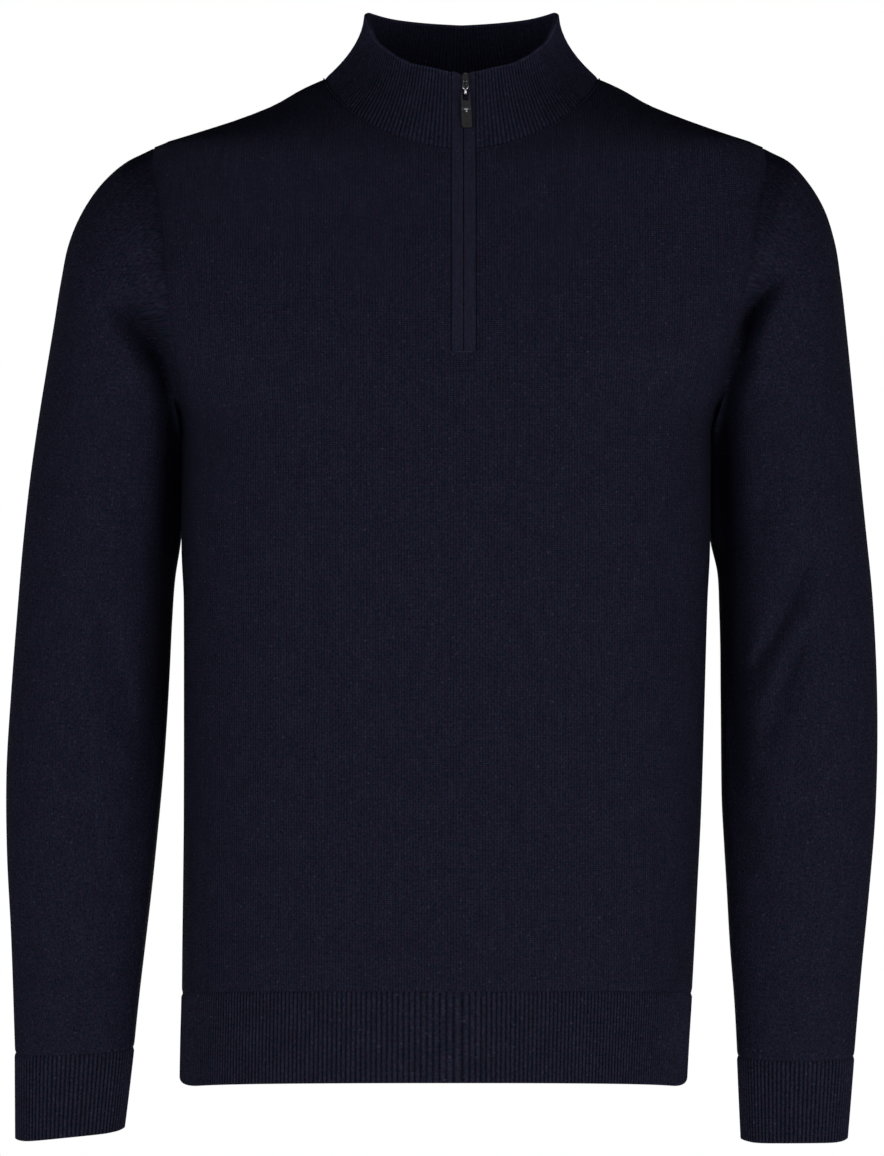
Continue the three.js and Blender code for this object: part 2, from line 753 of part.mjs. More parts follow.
// Angle round the neck from the front, by the base point
function neckAngle(point) {
  const across = Math.asin(Math.min(1, Math.abs(point[0]) / neckHalf)) / degree;
  return point[1] < 0 ? across : 180 - across;
}

// Middle surface of the collar: share runs round the neck, level up from the seam
function collarPoint(share, level) {
  const spot = neckSpotAt(share);
  const side = share < 0.5 ? -1 : 1;
  const angle = neckAngle(spot.point);
  const slit = Math.abs(side < 0 ? slitLeft : slitRight);
  const baseStart = Math.asin(slit / neckHalf) / degree;
  const topStart = Math.asin(slit / collarTopHalf) / degree;
  const turn = topStart + ((180 - topStart) * Math.max(0, angle - baseStart)) / (180 - baseStart);
  const flare = collarFlareFront + (collarFlareSide - collarFlareFront) * Math.sin(turn * degree) ** 2;
  const base = add(spot.point, spot.off, edgeGap);
  const cosine = Math.cos(turn * degree);
  const top = [
    side * collarTopHalf * Math.sin(turn * degree),
    cosine > 0 ? -collarTopFront * cosine : -collarTopBack * cosine,
    curve(collarTop, 'angle', 'height', turn),
  ];
  const fade = (1 - level) ** flare;
  return [
    top[0] + (base[0] - top[0]) * fade,
    top[1] + (base[1] - top[1]) * fade,
    base[2] + (top[2] - base[2]) * level,
  ];
}

function collarNormal(share, level) {
  const low = Math.max(0, share - collarStepRound);
  const high = Math.min(1, share + collarStepRound);
  const around = minus(collarPoint(high, level), collarPoint(low, level));
  const below = collarPoint(share, Math.max(0, level - collarStepUp));
  const above = collarPoint(share, Math.min(1, level + collarStepUp));
  return unit(cross(minus(above, below), around));
}

function collar() {
  const outerRow = (level, columns, offset) => {
    const line = [];
    for (let k = 0; k <= columns; k += 1) {
      const share = k / columns;
      const spot = neckSpotAt(share);
      const free = collarNormal(share, level);
      const seam = Math.max(0, 1 - level / collarSeamShare);
      const normal = unit(between(free, spot.normal, seam));
      const end = k === 0 || k === columns;
      if (end) normal[0] = 0;
      const point = add(collarPoint(share, level), unit(normal), offset(k));
      if (end) point[0] = k === 0 ? slitLeft : slitRight;
      line.push(point);
    }
    return line;
  };
  const fine = 2 * collarRibs;
  const zigzag = (k) => (k % 2 ? ribProud : ribProud - ribRelief);
  const inside = () => ribProud - collarWall;
  const outer = collarRows.map((level) => outerRow(level, fine, zigzag));
  const inner = collarRows.map((level) => outerRow(level, collarInnerLines, inside));
  return band(outer, inner, false);
}

// Path of the zip in Y and Z, from the bottom of the slit to the collar's top edge
function zipPath() {
  const path = [];
  for (let row = slitRow; row > necklineRow; row -= 1) {
    path.push([frontPanel.points[row][sideCells][1], frontPanel.points[row][sideCells][2]]);
  }
  path[0] = [path[0][0], path[0][1] + seamGap];
  for (const level of zipLevels) {
    const point = collarPoint(0, level);
    path.push([point[1], point[2]]);
  }
  return path;
}

function zipTape(side) {
  const path = zipPath();
  const count = path.length;
  const edges = [zipCentre + side * tapeSplit, zipCentre + side * (tapeSplit + tapeWidth)];
  const rows = path.map((spot, i) => {
    const before = path[Math.max(0, i - 1)];
    const after = path[Math.min(count - 1, i + 1)];
    const along = unit([0, after[0] - before[0], after[1] - before[1]]);
    const normal = [0, -along[2], along[1]];
    const notch = i >= count - 2 ? postHalf + sliderClear - tapeSplit : 0;
    return [0, 1].map((column) => {
      const x = edges[column] + (column === 0 ? side * notch : 0);
      const outer = [x, spot[0], spot[1]];
      return { outer, inner: add(outer, normal, -tapeWall) };
    });
  });
  const outer = rows.map((row) => row.map((spot) => spot.outer)).flat();
  const inner = rows.map((row) => row.map((spot) => spot.inner)).flat();
  const cells = [];
  for (let i = 0; i + 1 < count; i += 1) {
    cells.push([2 * i, 2 * i + 1, 2 * i + 3, 2 * i + 2]);
  }
  return wall(outer, inner, cells);
}

const wasm = await Module();
wasm.setup();

// Frame of the metal parts: down runs along the tape from the collar's top edge, out away from it
const topSpot = collarPoint(0, 1);
const lowSpot = collarPoint(0, 0.5);
const down = unit([0, lowSpot[1] - topSpot[1], lowSpot[2] - topSpot[2]]);
const out = [0, down[2], -down[1]];
const zipTop = [zipCentre, topSpot[1], topSpot[2]];
const place = (across, along, lift) => add(add(add(zipTop, [1, 0, 0], across), down, along), out, lift);

// Plate with trimmed corners between two lifts, its outline given as across and along
function plate(outline, low, high) {
  const count = outline.length;
  const solid = new Solid();
  const bottom = outline.map(([across, along]) => solid.add(place(across, along, low)));
  const top = outline.map(([across, along]) => solid.add(place(across, along, high)));
  for (let k = 0; k < count; k += 1) {
    const next = (k + 1) % count;
    solid.faces.push([bottom[k], bottom[next], top[next]], [bottom[k], top[next], top[k]]);
  }
  for (let k = 1; k + 1 < count; k += 1) {
    solid.faces.push([top[0], top[k], top[k + 1]], [bottom[0], bottom[k + 1], bottom[k]]);
  }
  return shape(solid);
}

function shape(solid) {
  let volume = 0;
  for (const [a, b, c] of solid.faces) {
    volume += dot(solid.points[a], cross(solid.points[b], solid.points[c]));
  }
  const faces = volume < 0 ? solid.faces.map(([a, b, c]) => [a, c, b]) : solid.faces;
  return new wasm.Manifold(new wasm.Mesh({
    numProp: 3,
    vertProperties: Float32Array.from(solid.points.flat()),
    triVerts: Uint32Array.from(faces.flat()),
  }));
}

const rounded = (half, from, to, trim) => [
  [-half, from + trim], [-half + trim, from], [half - trim, from], [half, from + trim],
  [half, to - trim], [half - trim, to], [-half + trim, to], [-half, to - trim],
];
const square = (half, from, to) => [[-half, from], [half, from], [half, to], [-half, to]];

function shapeMesh(manifold, name, material) {
  const mesh = manifold.getMesh();
  const solid = new Solid();
  for (let k = 0; k < mesh.numVert; k += 1) {
    solid.points.push([...mesh.vertProperties.slice(k * mesh.numProp, k * mesh.numProp + 3)]);
  }
  for (let k = 0; k < mesh.numTri; k += 1) solid.faces.push([...mesh.triVerts.slice(3 * k, 3 * k + 3)]);
  return solid.mesh(name, material);
}

function sliderShape() {
  const end = sliderTop + sliderLength;
  const face = sliderClear + sliderPlate;
  const back = -tapeWall - sliderClear;
  const bailTop = face + bailHeight;
  const cutHalf = bailHalf + cutMargin;
  const rearOutline = rounded(sliderBackHalf, sliderTop + sliderBackTrim, end - sliderBackTrim, sliderBackCorner);
  const front = plate(rounded(sliderHalf, sliderTop, end, sliderCorner), sliderClear, face);
  const rear = plate(rearOutline, back - sliderPlate, back);
  const postOutline = square(postHalf, sliderTop + postFromTop, end - postFromEnd);
  const post = plate(postOutline, back - joined, sliderClear + joined);
  const arch = plate(square(bailHalf, bailStart, bailEnd), face - joined, bailTop);
  const roomOutline = square(cutHalf, bailStart + bailBar, bailEnd - bailBar);
  const room = plate(roomOutline, face - cutMargin, bailTop - bailBar);
  const clear = plate(square(cutHalf, end - joined, bailEnd + cutMargin), face - 2 * cutMargin, face + joined);
  return front.add(rear).add(post).add(arch.subtract(room).subtract(clear));
}

function pullShape() {
  const low = sliderClear + sliderPlate + pullLift - pullWall / 2;
  const high = low + pullWall;
  const eyeEnd = pullHinge + pullEyeLength;
  const lean = ([across, along]) => [across + pullLean * (along - pullHinge), along];
  const outline = rounded(pullHalf, pullHinge - pullBar / 2, pullHinge + pullLength, pullCorner);
  const body = plate(outline.map(lean), low, high);
  const eyeOutline = square(pullEyeHalf, pullHinge + pullBar / 2, eyeEnd);
  const eye = plate(eyeOutline.map(lean), low - cutMargin, high + cutMargin);
  return body.subtract(eye);
}

const knit = (color, roughness) => new THREE.MeshStandardMaterial({ color, roughness, metalness: 0 });
const metal = (color, roughness) => new THREE.MeshStandardMaterial({ color, roughness, metalness: 0.85 });

const sweater = new THREE.Group();
sweater.name = 'quarter_zip_sweater';
sweater.add(frontPanel.solid.mesh('front', knit(0x171824, 0.92)));
sweater.add(backPanel.solid.mesh('back', knit(0x171824, 0.92)));
sweater.add(sleeve(-1).solid.mesh('sleeve_right', knit(0x151521, 0.92)));
sweater.add(sleeve(1).solid.mesh('sleeve_left', knit(0x151521, 0.92)));
sweater.add(hemBand(-1).mesh('hem_rib_front', knit(0x181823, 0.94)));
sweater.add(hemBand(1).mesh('hem_rib_back', knit(0x181823, 0.94)));
sweater.add(cuff(-1).mesh('cuff_right', knit(0x171722, 0.94)));
sweater.add(cuff(1).mesh('cuff_left', knit(0x171722, 0.94)));
sweater.add(collar().mesh('collar', knit(0x14151f, 0.94)));
sweater.add(zipTape(-1).mesh('zip_tape_right', knit(0x181824, 0.8)));
sweater.add(zipTape(1).mesh('zip_tape_left', knit(0x181824, 0.8)));
sweater.add(shapeMesh(sliderShape(), 'zip_slider', metal(0x55565c, 0.38)));
sweater.add(shapeMesh(pullShape(), 'zip_pull', metal(0x6a6b70, 0.34)));

export default sweater;
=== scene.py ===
"""Quarter zip sweater in fine navy knit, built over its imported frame.

Metres. X runs to the viewer's right, Y to the back, Z up.
The origin lies midway between the two high points of the shoulders.
"""

import bpy
import numpy as np
from bpy.props import FloatProperty, FloatVectorProperty, IntProperty, PointerProperty
from bpy.types import Operator, Panel, PropertyGroup
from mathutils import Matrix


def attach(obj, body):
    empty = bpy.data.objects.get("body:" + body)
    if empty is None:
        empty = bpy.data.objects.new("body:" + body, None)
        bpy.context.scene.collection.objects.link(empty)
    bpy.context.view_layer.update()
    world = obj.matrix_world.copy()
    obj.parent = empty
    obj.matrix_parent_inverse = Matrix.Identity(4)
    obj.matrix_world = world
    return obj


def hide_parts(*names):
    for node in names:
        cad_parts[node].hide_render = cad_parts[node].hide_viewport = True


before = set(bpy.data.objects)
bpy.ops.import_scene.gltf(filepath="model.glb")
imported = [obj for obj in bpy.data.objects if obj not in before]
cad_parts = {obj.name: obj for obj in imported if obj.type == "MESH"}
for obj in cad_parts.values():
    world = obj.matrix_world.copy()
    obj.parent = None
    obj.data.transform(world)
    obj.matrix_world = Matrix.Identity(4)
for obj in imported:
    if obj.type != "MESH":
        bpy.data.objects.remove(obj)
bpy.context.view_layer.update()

bl_info = {
    "name": "Quarter Zip Sweater",
    "version": (1, 0, 0),
    "blender": (4, 5, 0),
    "location": "View3D > Sidebar > Sweater",
    "description": "Builds a fine-knit sweater with a short zip over its packed frame",
    "category": "Add Mesh",
}

MM = 0.001
SOFT_BOX_WIDTH = 1.2
SOFT_BOX_HEIGHT = 1.1
SOFT_BOX_REACH = 2.6
SOFT_BOX_DROP = 0.68

# Neck and collar
NECK_HALF = 92.8 * MM
FRONT_DROP = 56.2 * MM
FRONT_DROP_POWER = 1.4
BACK_DROP = 9 * MM
BACK_DROP_POWER = 1.2
BACK_FLAT = 12.9 * MM
COLLAR_TOP_HALF = 66 * MM
COLLAR_TOP_FRONT = 78 * MM
COLLAR_TOP_BACK = 50 * MM
COLLAR_FLARE_FRONT = 1.15
COLLAR_FLARE_SIDE = 1.9

# Zip
ZIP_CENTRE = 0.9 * MM
TAPE_WIDTH = 7.6 * MM
TAPE_SPLIT = 0.25 * MM
TAPE_EDGE_GAP = 0.1 * MM
SLIT = {
    -1: ZIP_CENTRE - TAPE_SPLIT - TAPE_WIDTH - TAPE_EDGE_GAP,
    1: ZIP_CENTRE + TAPE_SPLIT + TAPE_WIDTH + TAPE_EDGE_GAP,
}

# Body sections are flattened ovals of this power
SECTION_POWER = 2.3
SHOULDER_TIP = -46.3 * MM
ARMPIT = -240 * MM

# Hem and cuffs
HEM_TOP_SIDE = -621.8 * MM
HEM_TOP = {-1: -609.4 * MM, 1: -623.5 * MM}
HEM_BOTTOM_SIDE = -686 * MM
HEM_BOTTOM = {-1: -669.5 * MM, 1: -688 * MM}
HEM_CORNER = 9 * MM
HEM_CORNER_START = 66
CUFF_CORNER = 2.5 * MM
CUFF_TILT = 2.8 * MM
CUFF_CORNER_POWER = 8

# Rows of the body panels that end a part of the cut
SHOULDER_ROW = 6
NECK_ROW = 7
SLIT_ROW = 15
ARMPIT_ROW = 19
OPEN_ROW = {-1: SLIT_ROW, 1: SHOULDER_ROW}

# Fineness of the grids
ROW_PITCH = 4 * MM
RING_PITCH = 4.5 * MM
SIDE_CELLS = 44
CENTRE_CELLS = 6
RIB_POINTS = 8
RIB_PITCH = 2.7 * MM


def named_table(names, rows, unit=MM):
    """Rows of plain numbers as one array for each named column, in metres."""
    columns = np.array(rows, float).T * unit
    return dict(zip(names, columns))


BODY = named_table(("height", "left", "right", "front", "back"), [
    (0, 92.8, 92.8, 36, 36),
    (-8, 109.5, 109.5, 54, 60),
    (-18.8, 128, 128, 68, 69),
    (-28.2, 151, 151, 76.5, 75),
    (-38, 181, 178.5, 83.5, 79.5),
    (-46.3, 208.4, 204.3, 88.5, 83.5),
    (-56, 209, 205.5, 94, 87.5),
    (-68, 207.4, 204, 98, 90.5),
    (-82, 205, 200.5, 101.5, 93.5),
    (-98, 201.8, 197.2, 105, 97),
    (-115, 199.7, 194.6, 108.5, 100),
    (-133, 197.8, 192, 111.7, 102.5),
    (-151, 195.8, 188.6, 114.3, 104),
    (-169, 194, 184.5, 116.5, 105),
    (-187, 192, 180, 118.3, 105.3),
    (-204, 190.6, 176, 119.3, 105),
    (-219, 189.8, 172.6, 119.8, 104.5),
    (-231, 189.5, 170.5, 120, 104),
    (-240, 189.4, 169.5, 120, 103.5),
    (-262, 190, 169.4, 119.6, 102.3),
    (-290, 190.6, 169.3, 118.4, 100.5),
    (-320, 190.4, 168.8, 116.4, 98),
    (-355, 188.8, 167, 113.6, 95),
    (-400, 188.6, 165.6, 110.8, 92),
    (-450, 188.6, 164.2, 109.4, 91.3),
    (-500, 188.7, 162.5, 109.8, 92.8),
    (-550, 189.2, 160, 111.6, 95.6),
    (-590, 189.7, 158, 113.4, 98.2),
    (-622, 190, 156.2, 114.6, 100),
    (-654, 190.8, 154.2, 115, 100.6),
    (-690, 191.4, 152.3, 114, 100),
])

# The same rows above and below the shoulder's tip, where the outline turns a corner
TIP_ROW = int(np.argmin(np.abs(BODY["height"] - SHOULDER_TIP)))
SHOULDER_ROWS = {name: values[:TIP_ROW + 1] for name, values in BODY.items()}
SIDE_ROWS = {name: values[TIP_ROW:] for name, values in BODY.items()}

# Half depth of the armhole by height
ARMHOLE = named_table(("height", "arm"), [
    (-46.3, 0), (-56, 23), (-68, 34), (-82, 43.5), (-98, 52), (-115, 59), (-133, 64.5), (-151, 68),
    (-169, 69), (-187, 66), (-204, 56), (-219, 39), (-231, 19.5), (-240, 0),
])

# Outer end of each row of a body panel, and its inner end below the neckline
PANEL_OUTER = np.array([
    -0.2, -4, -9, -18.8, -28.2, -38, -46.3, -56, -68, -82, -98, -115, -133, -151, -169, -187, -204,
    -219, -231, -240, -265, -300, -345, -395, -450, -510, -570, -621.8,
]) * MM
PANEL_MIDDLE = {
    -1: np.array([-56.2, -72, -88, -104, -121, -138, -155, -173, -191, -206, -220, -231.5, -240, -263,
                  -296, -340, -388, -442, -500, -560, -609.4]) * MM,
    1: np.array([-8.9, -22, -38, -56, -76, -97, -118, -140, -162, -183, -203, -219, -231, -240, -265,
                 -300, -345, -396, -452, -512, -572, -623.5]) * MM,
}
# Angle round the neck where each of the upper rows ends, in degrees
NECK_ANGLES = {-1: (89, 80, 71, 57, 44, 31, 17), 1: (89, 80, 71, 55, 39, 23, 8)}

# Collar top edge height by angle round the neck, 0 at the front
COLLAR_TOP = {
    "angle": np.array([0, 20, 30, 42, 52, 62, 70, 80, 92, 105, 140, 180], float),
    "height": np.array([-5.2, 0.6, 3.4, 9.5, 16, 22.8, 30.8, 39.3, 45, 46.8, 44.8, 43]) * MM,
}

# Sleeve rings: outer point, inner point, half depth and how far back the ring sits
RING_NAMES = ("out_x", "out_z", "in_x", "in_z", "depth", "back")
SLEEVE_RINGS = {
    -1: named_table(RING_NAMES, [
        (-226.8, -55.5, -189.9, -243, 64, 0),
        (-243, -69, -190, -252, 61, 1),
        (-257.5, -89, -190, -262, 59, 2),
        (-266.7, -109.5, -190.2, -275, 58, 3),
        (-272.5, -136.7, -190.4, -292, 57, 4),
        (-277.1, -165, -192, -313, 56.5, 5),
        (-283, -200, -196, -340, 56, 6),
        (-288.7, -235, -198, -370, 55, 7),
        (-294, -272, -199.4, -402, 54, 8),
        (-298.7, -315, -201.2, -438, 52, 8),
        (-302.5, -362, -203.6, -475, 50, 6),
        (-306.3, -415, -206.8, -512, 48, 3),
        (-309.2, -470, -210.2, -548, 45, -1),
        (-308.6, -522, -214.4, -586, 41.5, -5),
        (-305.4, -580, -218.4, -622, 37, -9),
        (-302.3, -660.3, -221.8, -656.9, 31, -13),
    ]),
    1: named_table(RING_NAMES, [
        (222, -55.5, 169.7, -243, 63.5, 0),
        (235, -69, 169.7, -252, 60.5, 1),
        (246.5, -87.5, 169.6, -262, 58.5, 2),
        (253.8, -109.5, 169.5, -275, 57.5, 3),
        (258, -136, 169.5, -292, 56.5, 4),
        (261.5, -166, 170.2, -312, 56, 5),
        (265.5, -205, 175.2, -335, 55.5, 6),
        (269, -241, 176.5, -362, 55, 7),
        (272.5, -277, 177.1, -388, 54, 8),
        (276.1, -312, 177.1, -414, 53, 8),
        (279.3, -344, 177.1, -440, 52, 7),
        (281.3, -374, 177.1, -466, 50.5, 6),
        (282.7, -412, 177.3, -492, 48.5, 4),
        (282.8, -455, 178.4, -516, 46.5, 2),
        (281, -500, 180, -548, 44, -2),
        (276.4, -552, 182, -588, 40, -6),
        (270.8, -605, 184.9, -628, 35.5, -10),
        (265.6, -662.7, 186.6, -662.7, 31, -13),
    ]),
}
CUFF_RINGS = {
    -1: named_table(RING_NAMES, [(-301.8, -721, -228.2, -713.6, 27, -15)]),
    1: named_table(RING_NAMES, [(260.9, -720.8, 189, -721.2, 27, -15)]),
}
# How far behind the ring's own middle its inner edge sits, by the inner edge's height
TUCK = named_table(("inner", "tuck"), [
    (-243, 9), (-252, 13), (-262, 15), (-275, 17), (-315, 17), (-345, 15), (-385, 11), (-440, 6), (-500, 2),
    (-560, 0),
])
ANGLE_BLEND_RINGS = 5
CREST_REACH = 0.16
ARMPIT_REACH = 0.6
ARMPIT_STEPS = 3

# Folds: face, path in X and Z, depth at each end and half width, all in millimetres
FOLDS = [
    (-1, [(-238, -149), (-226, -160), (-212, -178), (-201, -198), (-195, -222), (-192, -248),
          (-193, -290), (-198, -345), (-204, -410), (-211, -480), (-217, -560)], 24, 28, 8.5),
    (-1, [(223, -131), (207, -142), (193, -161), (186, -181), (180, -203), (176, -226), (174, -250),
          (176, -300), (180, -370), (183, -430), (185, -500), (189, -580)], 24, 28, 8.5),
    (1, [(-236, -160), (-212, -186), (-199, -206), (-188, -243)], 2, 13, 9),
    (1, [(222, -140), (196, -172), (181, -206), (170, -245)], 2, 13, 9),
    (-1, [(238, -309), (226, -345), (211, -378), (198, -402), (186, -424)], 4, 5, 9),
    (-1, [(238, -363), (225, -395), (215, -420), (202, -458)], 3.5, 4, 9),
    (-1, [(261, -323), (247, -398)], 2, 2, 9),
    (-1, [(-239, -354), (-236, -387), (-229, -410), (-225, -460)], 3.5, 3.5, 10),
    (-1, [(-112, -300), (-80, -517)], 2.4, 2.4, 17),
    (-1, [(133, -318), (150, -395)], 2.6, 2.6, 14),
    (1, [(-60, -300), (-72, -520)], 2.2, 2.2, 18),
    (1, [(70, -330), (84, -540)], 2.4, 2.4, 18),
]

# Creases and ridges between those folds; a ridge has a negative depth
CREASES = [
    (-1, [(-239, -150), (-226, -159), (-211, -169), (-200, -184)], 4, 7, 4),
    (-1, [(-212, -182), (-203, -198), (-198, -216)], 4, 6, 4),
    (-1, [(222, -132), (206, -144), (193, -160), (186, -178)], 3, 6, 4),
    (-1, [(195, -186), (187, -208)], 3, 5, 4),
    (-1, [(125, -400), (143, -500), (159, -598)], -1.8, -1.6, 7),
    (-1, [(-130, -286), (-124, -410), (-123, -524)], -1.4, -1.4, 8),
    (-1, [(-104, -330), (-93, -470)], 1, 1.4, 6),
    (-1, [(236, -314), (223, -348), (208, -380), (190, -410)], 3.5, 5.5, 4),
    (-1, [(233, -368), (221, -397), (210, -424)], 3, 4, 4),
    (-1, [(248, -330), (236, -362), (222, -384)], -1.5, -1.5, 6),
    (-1, [(208, -432), (199, -470), (196, -520)], 1.2, 1.6, 5),
    (-1, [(-262, -330), (-247, -352), (-238, -372)], 1.4, 1.4, 4),
    (-1, [(-228, -395), (-222, -430), (-219, -470)], 1.6, 1.6, 4),
    (-1, [(-252, -480), (-240, -540)], 1, 1.2, 7),
    (-1, [(-116, -205), (-86, -208)], -1.6, -1.6, 26),
    (-1, [(66, -198), (94, -200)], -1.6, -1.6, 26),
    (1, [(-214, -190), (-200, -214)], 1.8, 2.6, 4),
    (1, [(200, -178), (187, -202)], 1.8, 2.6, 4),
    (1, [(-150, -320), (-130, -430), (-112, -520)], 1.5, 1.5, 8),
    (1, [(40, -250), (54, -338)], 1, 1.5, 9),
    (1, [(112, -420), (98, -500), (96, -590)], -1.5, -1.5, 8),
    (1, [(-280, -330), (-250, -350), (-225, -345)], 1.8, 1.8, 5),
    (1, [(-278, -368), (-248, -386), (-226, -378)], 1.4, 1.4, 5),
    (1, [(264, -318), (234, -338), (206, -330)], 1.8, 1.8, 5),
    (1, [(262, -354), (234, -371), (208, -362)], 1.4, 1.4, 5),
]
FOLD_TAPER = 0.22
FOLD_FADE_DEPTH = 30 * MM

# Rows and inset of the fashioning marks, and the bar tack at the bottom of the slit
MARK_ROWS = (9.8, 13)
MARK_INSET = 15 * MM
TACK_HALF = 5.2 * MM
TACK_STITCHES = 10

# Slider and pull tab, in a frame that lies on the collar at the zip
SLIDER_TOP = 1.2 * MM
SLIDER_LENGTH = 12 * MM
SLIDER_HALF = 2.4 * MM
SLIDER_SHIFT = 1.3 * MM
SLIDER_PLATE = 1.3 * MM
SLIDER_CLEAR = 0.3 * MM
TAPE_WALL = 1.5 * MM
BAIL_START = 6.5 * MM
BAIL_END = 18.2 * MM
BAIL_HEIGHT = 3.8 * MM
PULL_HINGE = 16.3 * MM
PULL_LENGTH = 25 * MM
PULL_HALF = 3.4 * MM
PULL_EYE_HALF = 2 * MM
PULL_EYE_LENGTH = 5.4 * MM
PULL_LEAN = 0.045
PULL_SEGMENT = 28.5 * MM
PULL_CROWN = 0.5 * MM
PULL_WALL = 1 * MM
PULL_LIFT = 1.95 * MM


def unit(vectors):
    """Vectors divided by their own length."""
    length = np.linalg.norm(vectors, axis=-1, keepdims=True)
    return vectors / np.maximum(length, 1e-12)


def curve(rows, key, column, at):
    """Monotone cubic through a table: Hermite pieces whose slope at a knot is the harmonic mean of its sides."""
    knots, values = rows[key], rows[column]
    if knots[0] > knots[-1]:
        knots, values = knots[::-1], values[::-1]
    slope = np.diff(values) / np.diff(knots)
    product = slope[:-1] * slope[1:]
    total = np.where(product > 0, slope[:-1] + slope[1:], 1)
    tangent = np.concatenate(([slope[0]], np.where(product > 0, 2 * product / total, 0), [slope[-1]]))
    at = np.clip(at, knots[0], knots[-1])
    k = np.clip(np.searchsorted(knots, at) - 1, 0, len(knots) - 2)
    step = knots[k + 1] - knots[k]
    t = (at - knots[k]) / step
    rise = t * t * (3 - 2 * t)
    leave = t * (1 - t) ** 2
    arrive = t * t * (t - 1)
    return values[k] * (1 - rise) + values[k + 1] * rise + step * (tangent[k] * leave + tangent[k + 1] * arrive)


def arm_depth(z):
    """Half depth of the armhole: the root of a monotone cubic through its squares, so both ends are round."""
    squares = {"height": ARMHOLE["height"], "square": ARMHOLE["arm"] ** 2}
    inside = (z <= ARMHOLE["height"][0]) & (z >= ARMHOLE["height"][-1])
    return np.where(inside, np.sqrt(np.maximum(curve(squares, "height", "square", z), 0)), 0)


def face_name(face):
    """Column of a table for the front (-1) or the back (1)."""
    return "front" if face < 0 else "back"


def half_width(face, side, z):
    """Half width of the whole oval whose point at the armhole's depth lies on the armhole."""
    depth = curve(BODY, "height", face_name(face), z)
    arm = arm_depth(z) / depth
    column = "left" if side < 0 else "right"
    above = curve(SHOULDER_ROWS, "height", column, z)
    width = np.where(z > SHOULDER_TIP, above, curve(SIDE_ROWS, "height", column, z))
    return width / (1 - arm ** SECTION_POWER) ** (1 / SECTION_POWER)


def fold_depth(face, x, z):
    """Sum of all folds at a point: each is a bell across its path, tapered at its ends."""
    depth = np.zeros(np.broadcast(x, z).shape)
    for fold_face, path, start, end, width in FOLDS + CREASES:
        if fold_face != face:
            continue
        spots = np.array(path, float) * MM
        best = np.full(depth.shape, np.inf)
        along = np.zeros(depth.shape)
        pieces = len(spots) - 1
        for k, (a, b) in enumerate(zip(spots[:-1], spots[1:])):
            span = b - a
            t = np.clip(((x - a[0]) * span[0] + (z - a[1]) * span[1]) / (span @ span), 0, 1)
            gap = np.hypot(x - a[0] - t * span[0], z - a[1] - t * span[1])
            nearer = gap < best
            along = np.where(nearer, (k + t) / pieces, along)
            best = np.minimum(best, gap)
        ends = np.clip(np.minimum(along, 1 - along) / FOLD_TAPER, 0, 1)
        taper = ends * ends * (3 - 2 * ends)
        depth += (start + (end - start) * along) * MM * taper * np.exp(-((best / (width * MM)) ** 2))
    return depth


def body_point(face, side, inner_x, inner_z, outer_z, s):
    """Point of a panel at share s from its middle (0) to its outer edge (1), on the oval of its own height."""
    z = inner_z + (outer_z - inner_z) * s * s
    depth_outer = curve(BODY, "height", face_name(face), outer_z)
    outer_angle = np.arccos((arm_depth(outer_z) / depth_outer) ** (SECTION_POWER / 2))
    inner_share = np.clip(np.abs(inner_x) / half_width(face, side, inner_z), 0, 1)
    inner_angle = np.arcsin(inner_share ** (SECTION_POWER / 2))
    angle = inner_angle + (outer_angle - inner_angle) * s
    x = side * half_width(face, side, z) * np.sin(angle) ** (2 / SECTION_POWER)
    cosine = np.maximum(np.cos(angle), 0)
    deep = curve(BODY, "height", face_name(face), z) * cosine ** (2 / SECTION_POWER)
    return np.stack(np.broadcast_arrays(x, face * deep, z), axis=-1)


def fine_steps(table_rows, pitch):
    """Row numbers with fractions, so that neighbours lie about one pitch apart."""
    spans = np.max([np.abs(np.diff(column)) for column in table_rows], axis=0)
    counts = np.maximum(2, np.round(spans / pitch)).astype(int)
    parts = [k + np.arange(count) / count for k, count in enumerate(counts)]
    return np.concatenate([*parts, [len(counts)]])


def numeric_normals(points, wrap=False):
    """Unit normals of a grid from central differences along its rows and columns."""
    down = np.gradient(points, axis=0)
    if wrap:
        around = (np.roll(points, -1, axis=1) - np.roll(points, 1, axis=1)) / 2
    else:
        around = np.gradient(points, axis=1)
    return unit(np.cross(around, down))


def arc_lengths(points, axis):
    """Running length along one axis of a grid, from its start."""
    steps = np.linalg.norm(np.diff(points, axis=axis), axis=-1)
    first = np.zeros_like(np.take(steps, [0], axis=axis))
    return np.concatenate((first, np.cumsum(steps, axis=axis)), axis=axis)


def new_mesh(name, points, faces, corner_uv=None, sharp=0.9):
    """Mesh from points and four-sided faces, smooth except where faces meet at more than the sharp angle."""
    used, faces = np.unique(faces, return_inverse=True)
    faces = faces.reshape(-1, 4)
    mesh = bpy.data.meshes.new(name)
    mesh.vertices.add(len(used))
    mesh.vertices.foreach_set("co", np.ascontiguousarray(points[used], np.float32).ravel())
    mesh.loops.add(faces.size)
    mesh.loops.foreach_set("vertex_index", np.ascontiguousarray(faces, np.int32).ravel())
    mesh.polygons.add(len(faces))
    mesh.polygons.foreach_set("loop_start", np.arange(0, faces.size, 4, dtype=np.int32))
    mesh.polygons.foreach_set("use_smooth", np.ones(len(faces), bool))
    if corner_uv is not None:
        layer = mesh.uv_layers.new(name="Cloth")
        layer.data.foreach_set("uv", np.ascontiguousarray(corner_uv, np.float32).ravel())
    mesh.update(calc_edges=True)
    mesh.validate()
    mesh.set_sharp_from_angle(angle=sharp)
    piece = bpy.data.objects.new(name, mesh)
    bpy.context.scene.collection.objects.link(piece)
    return piece


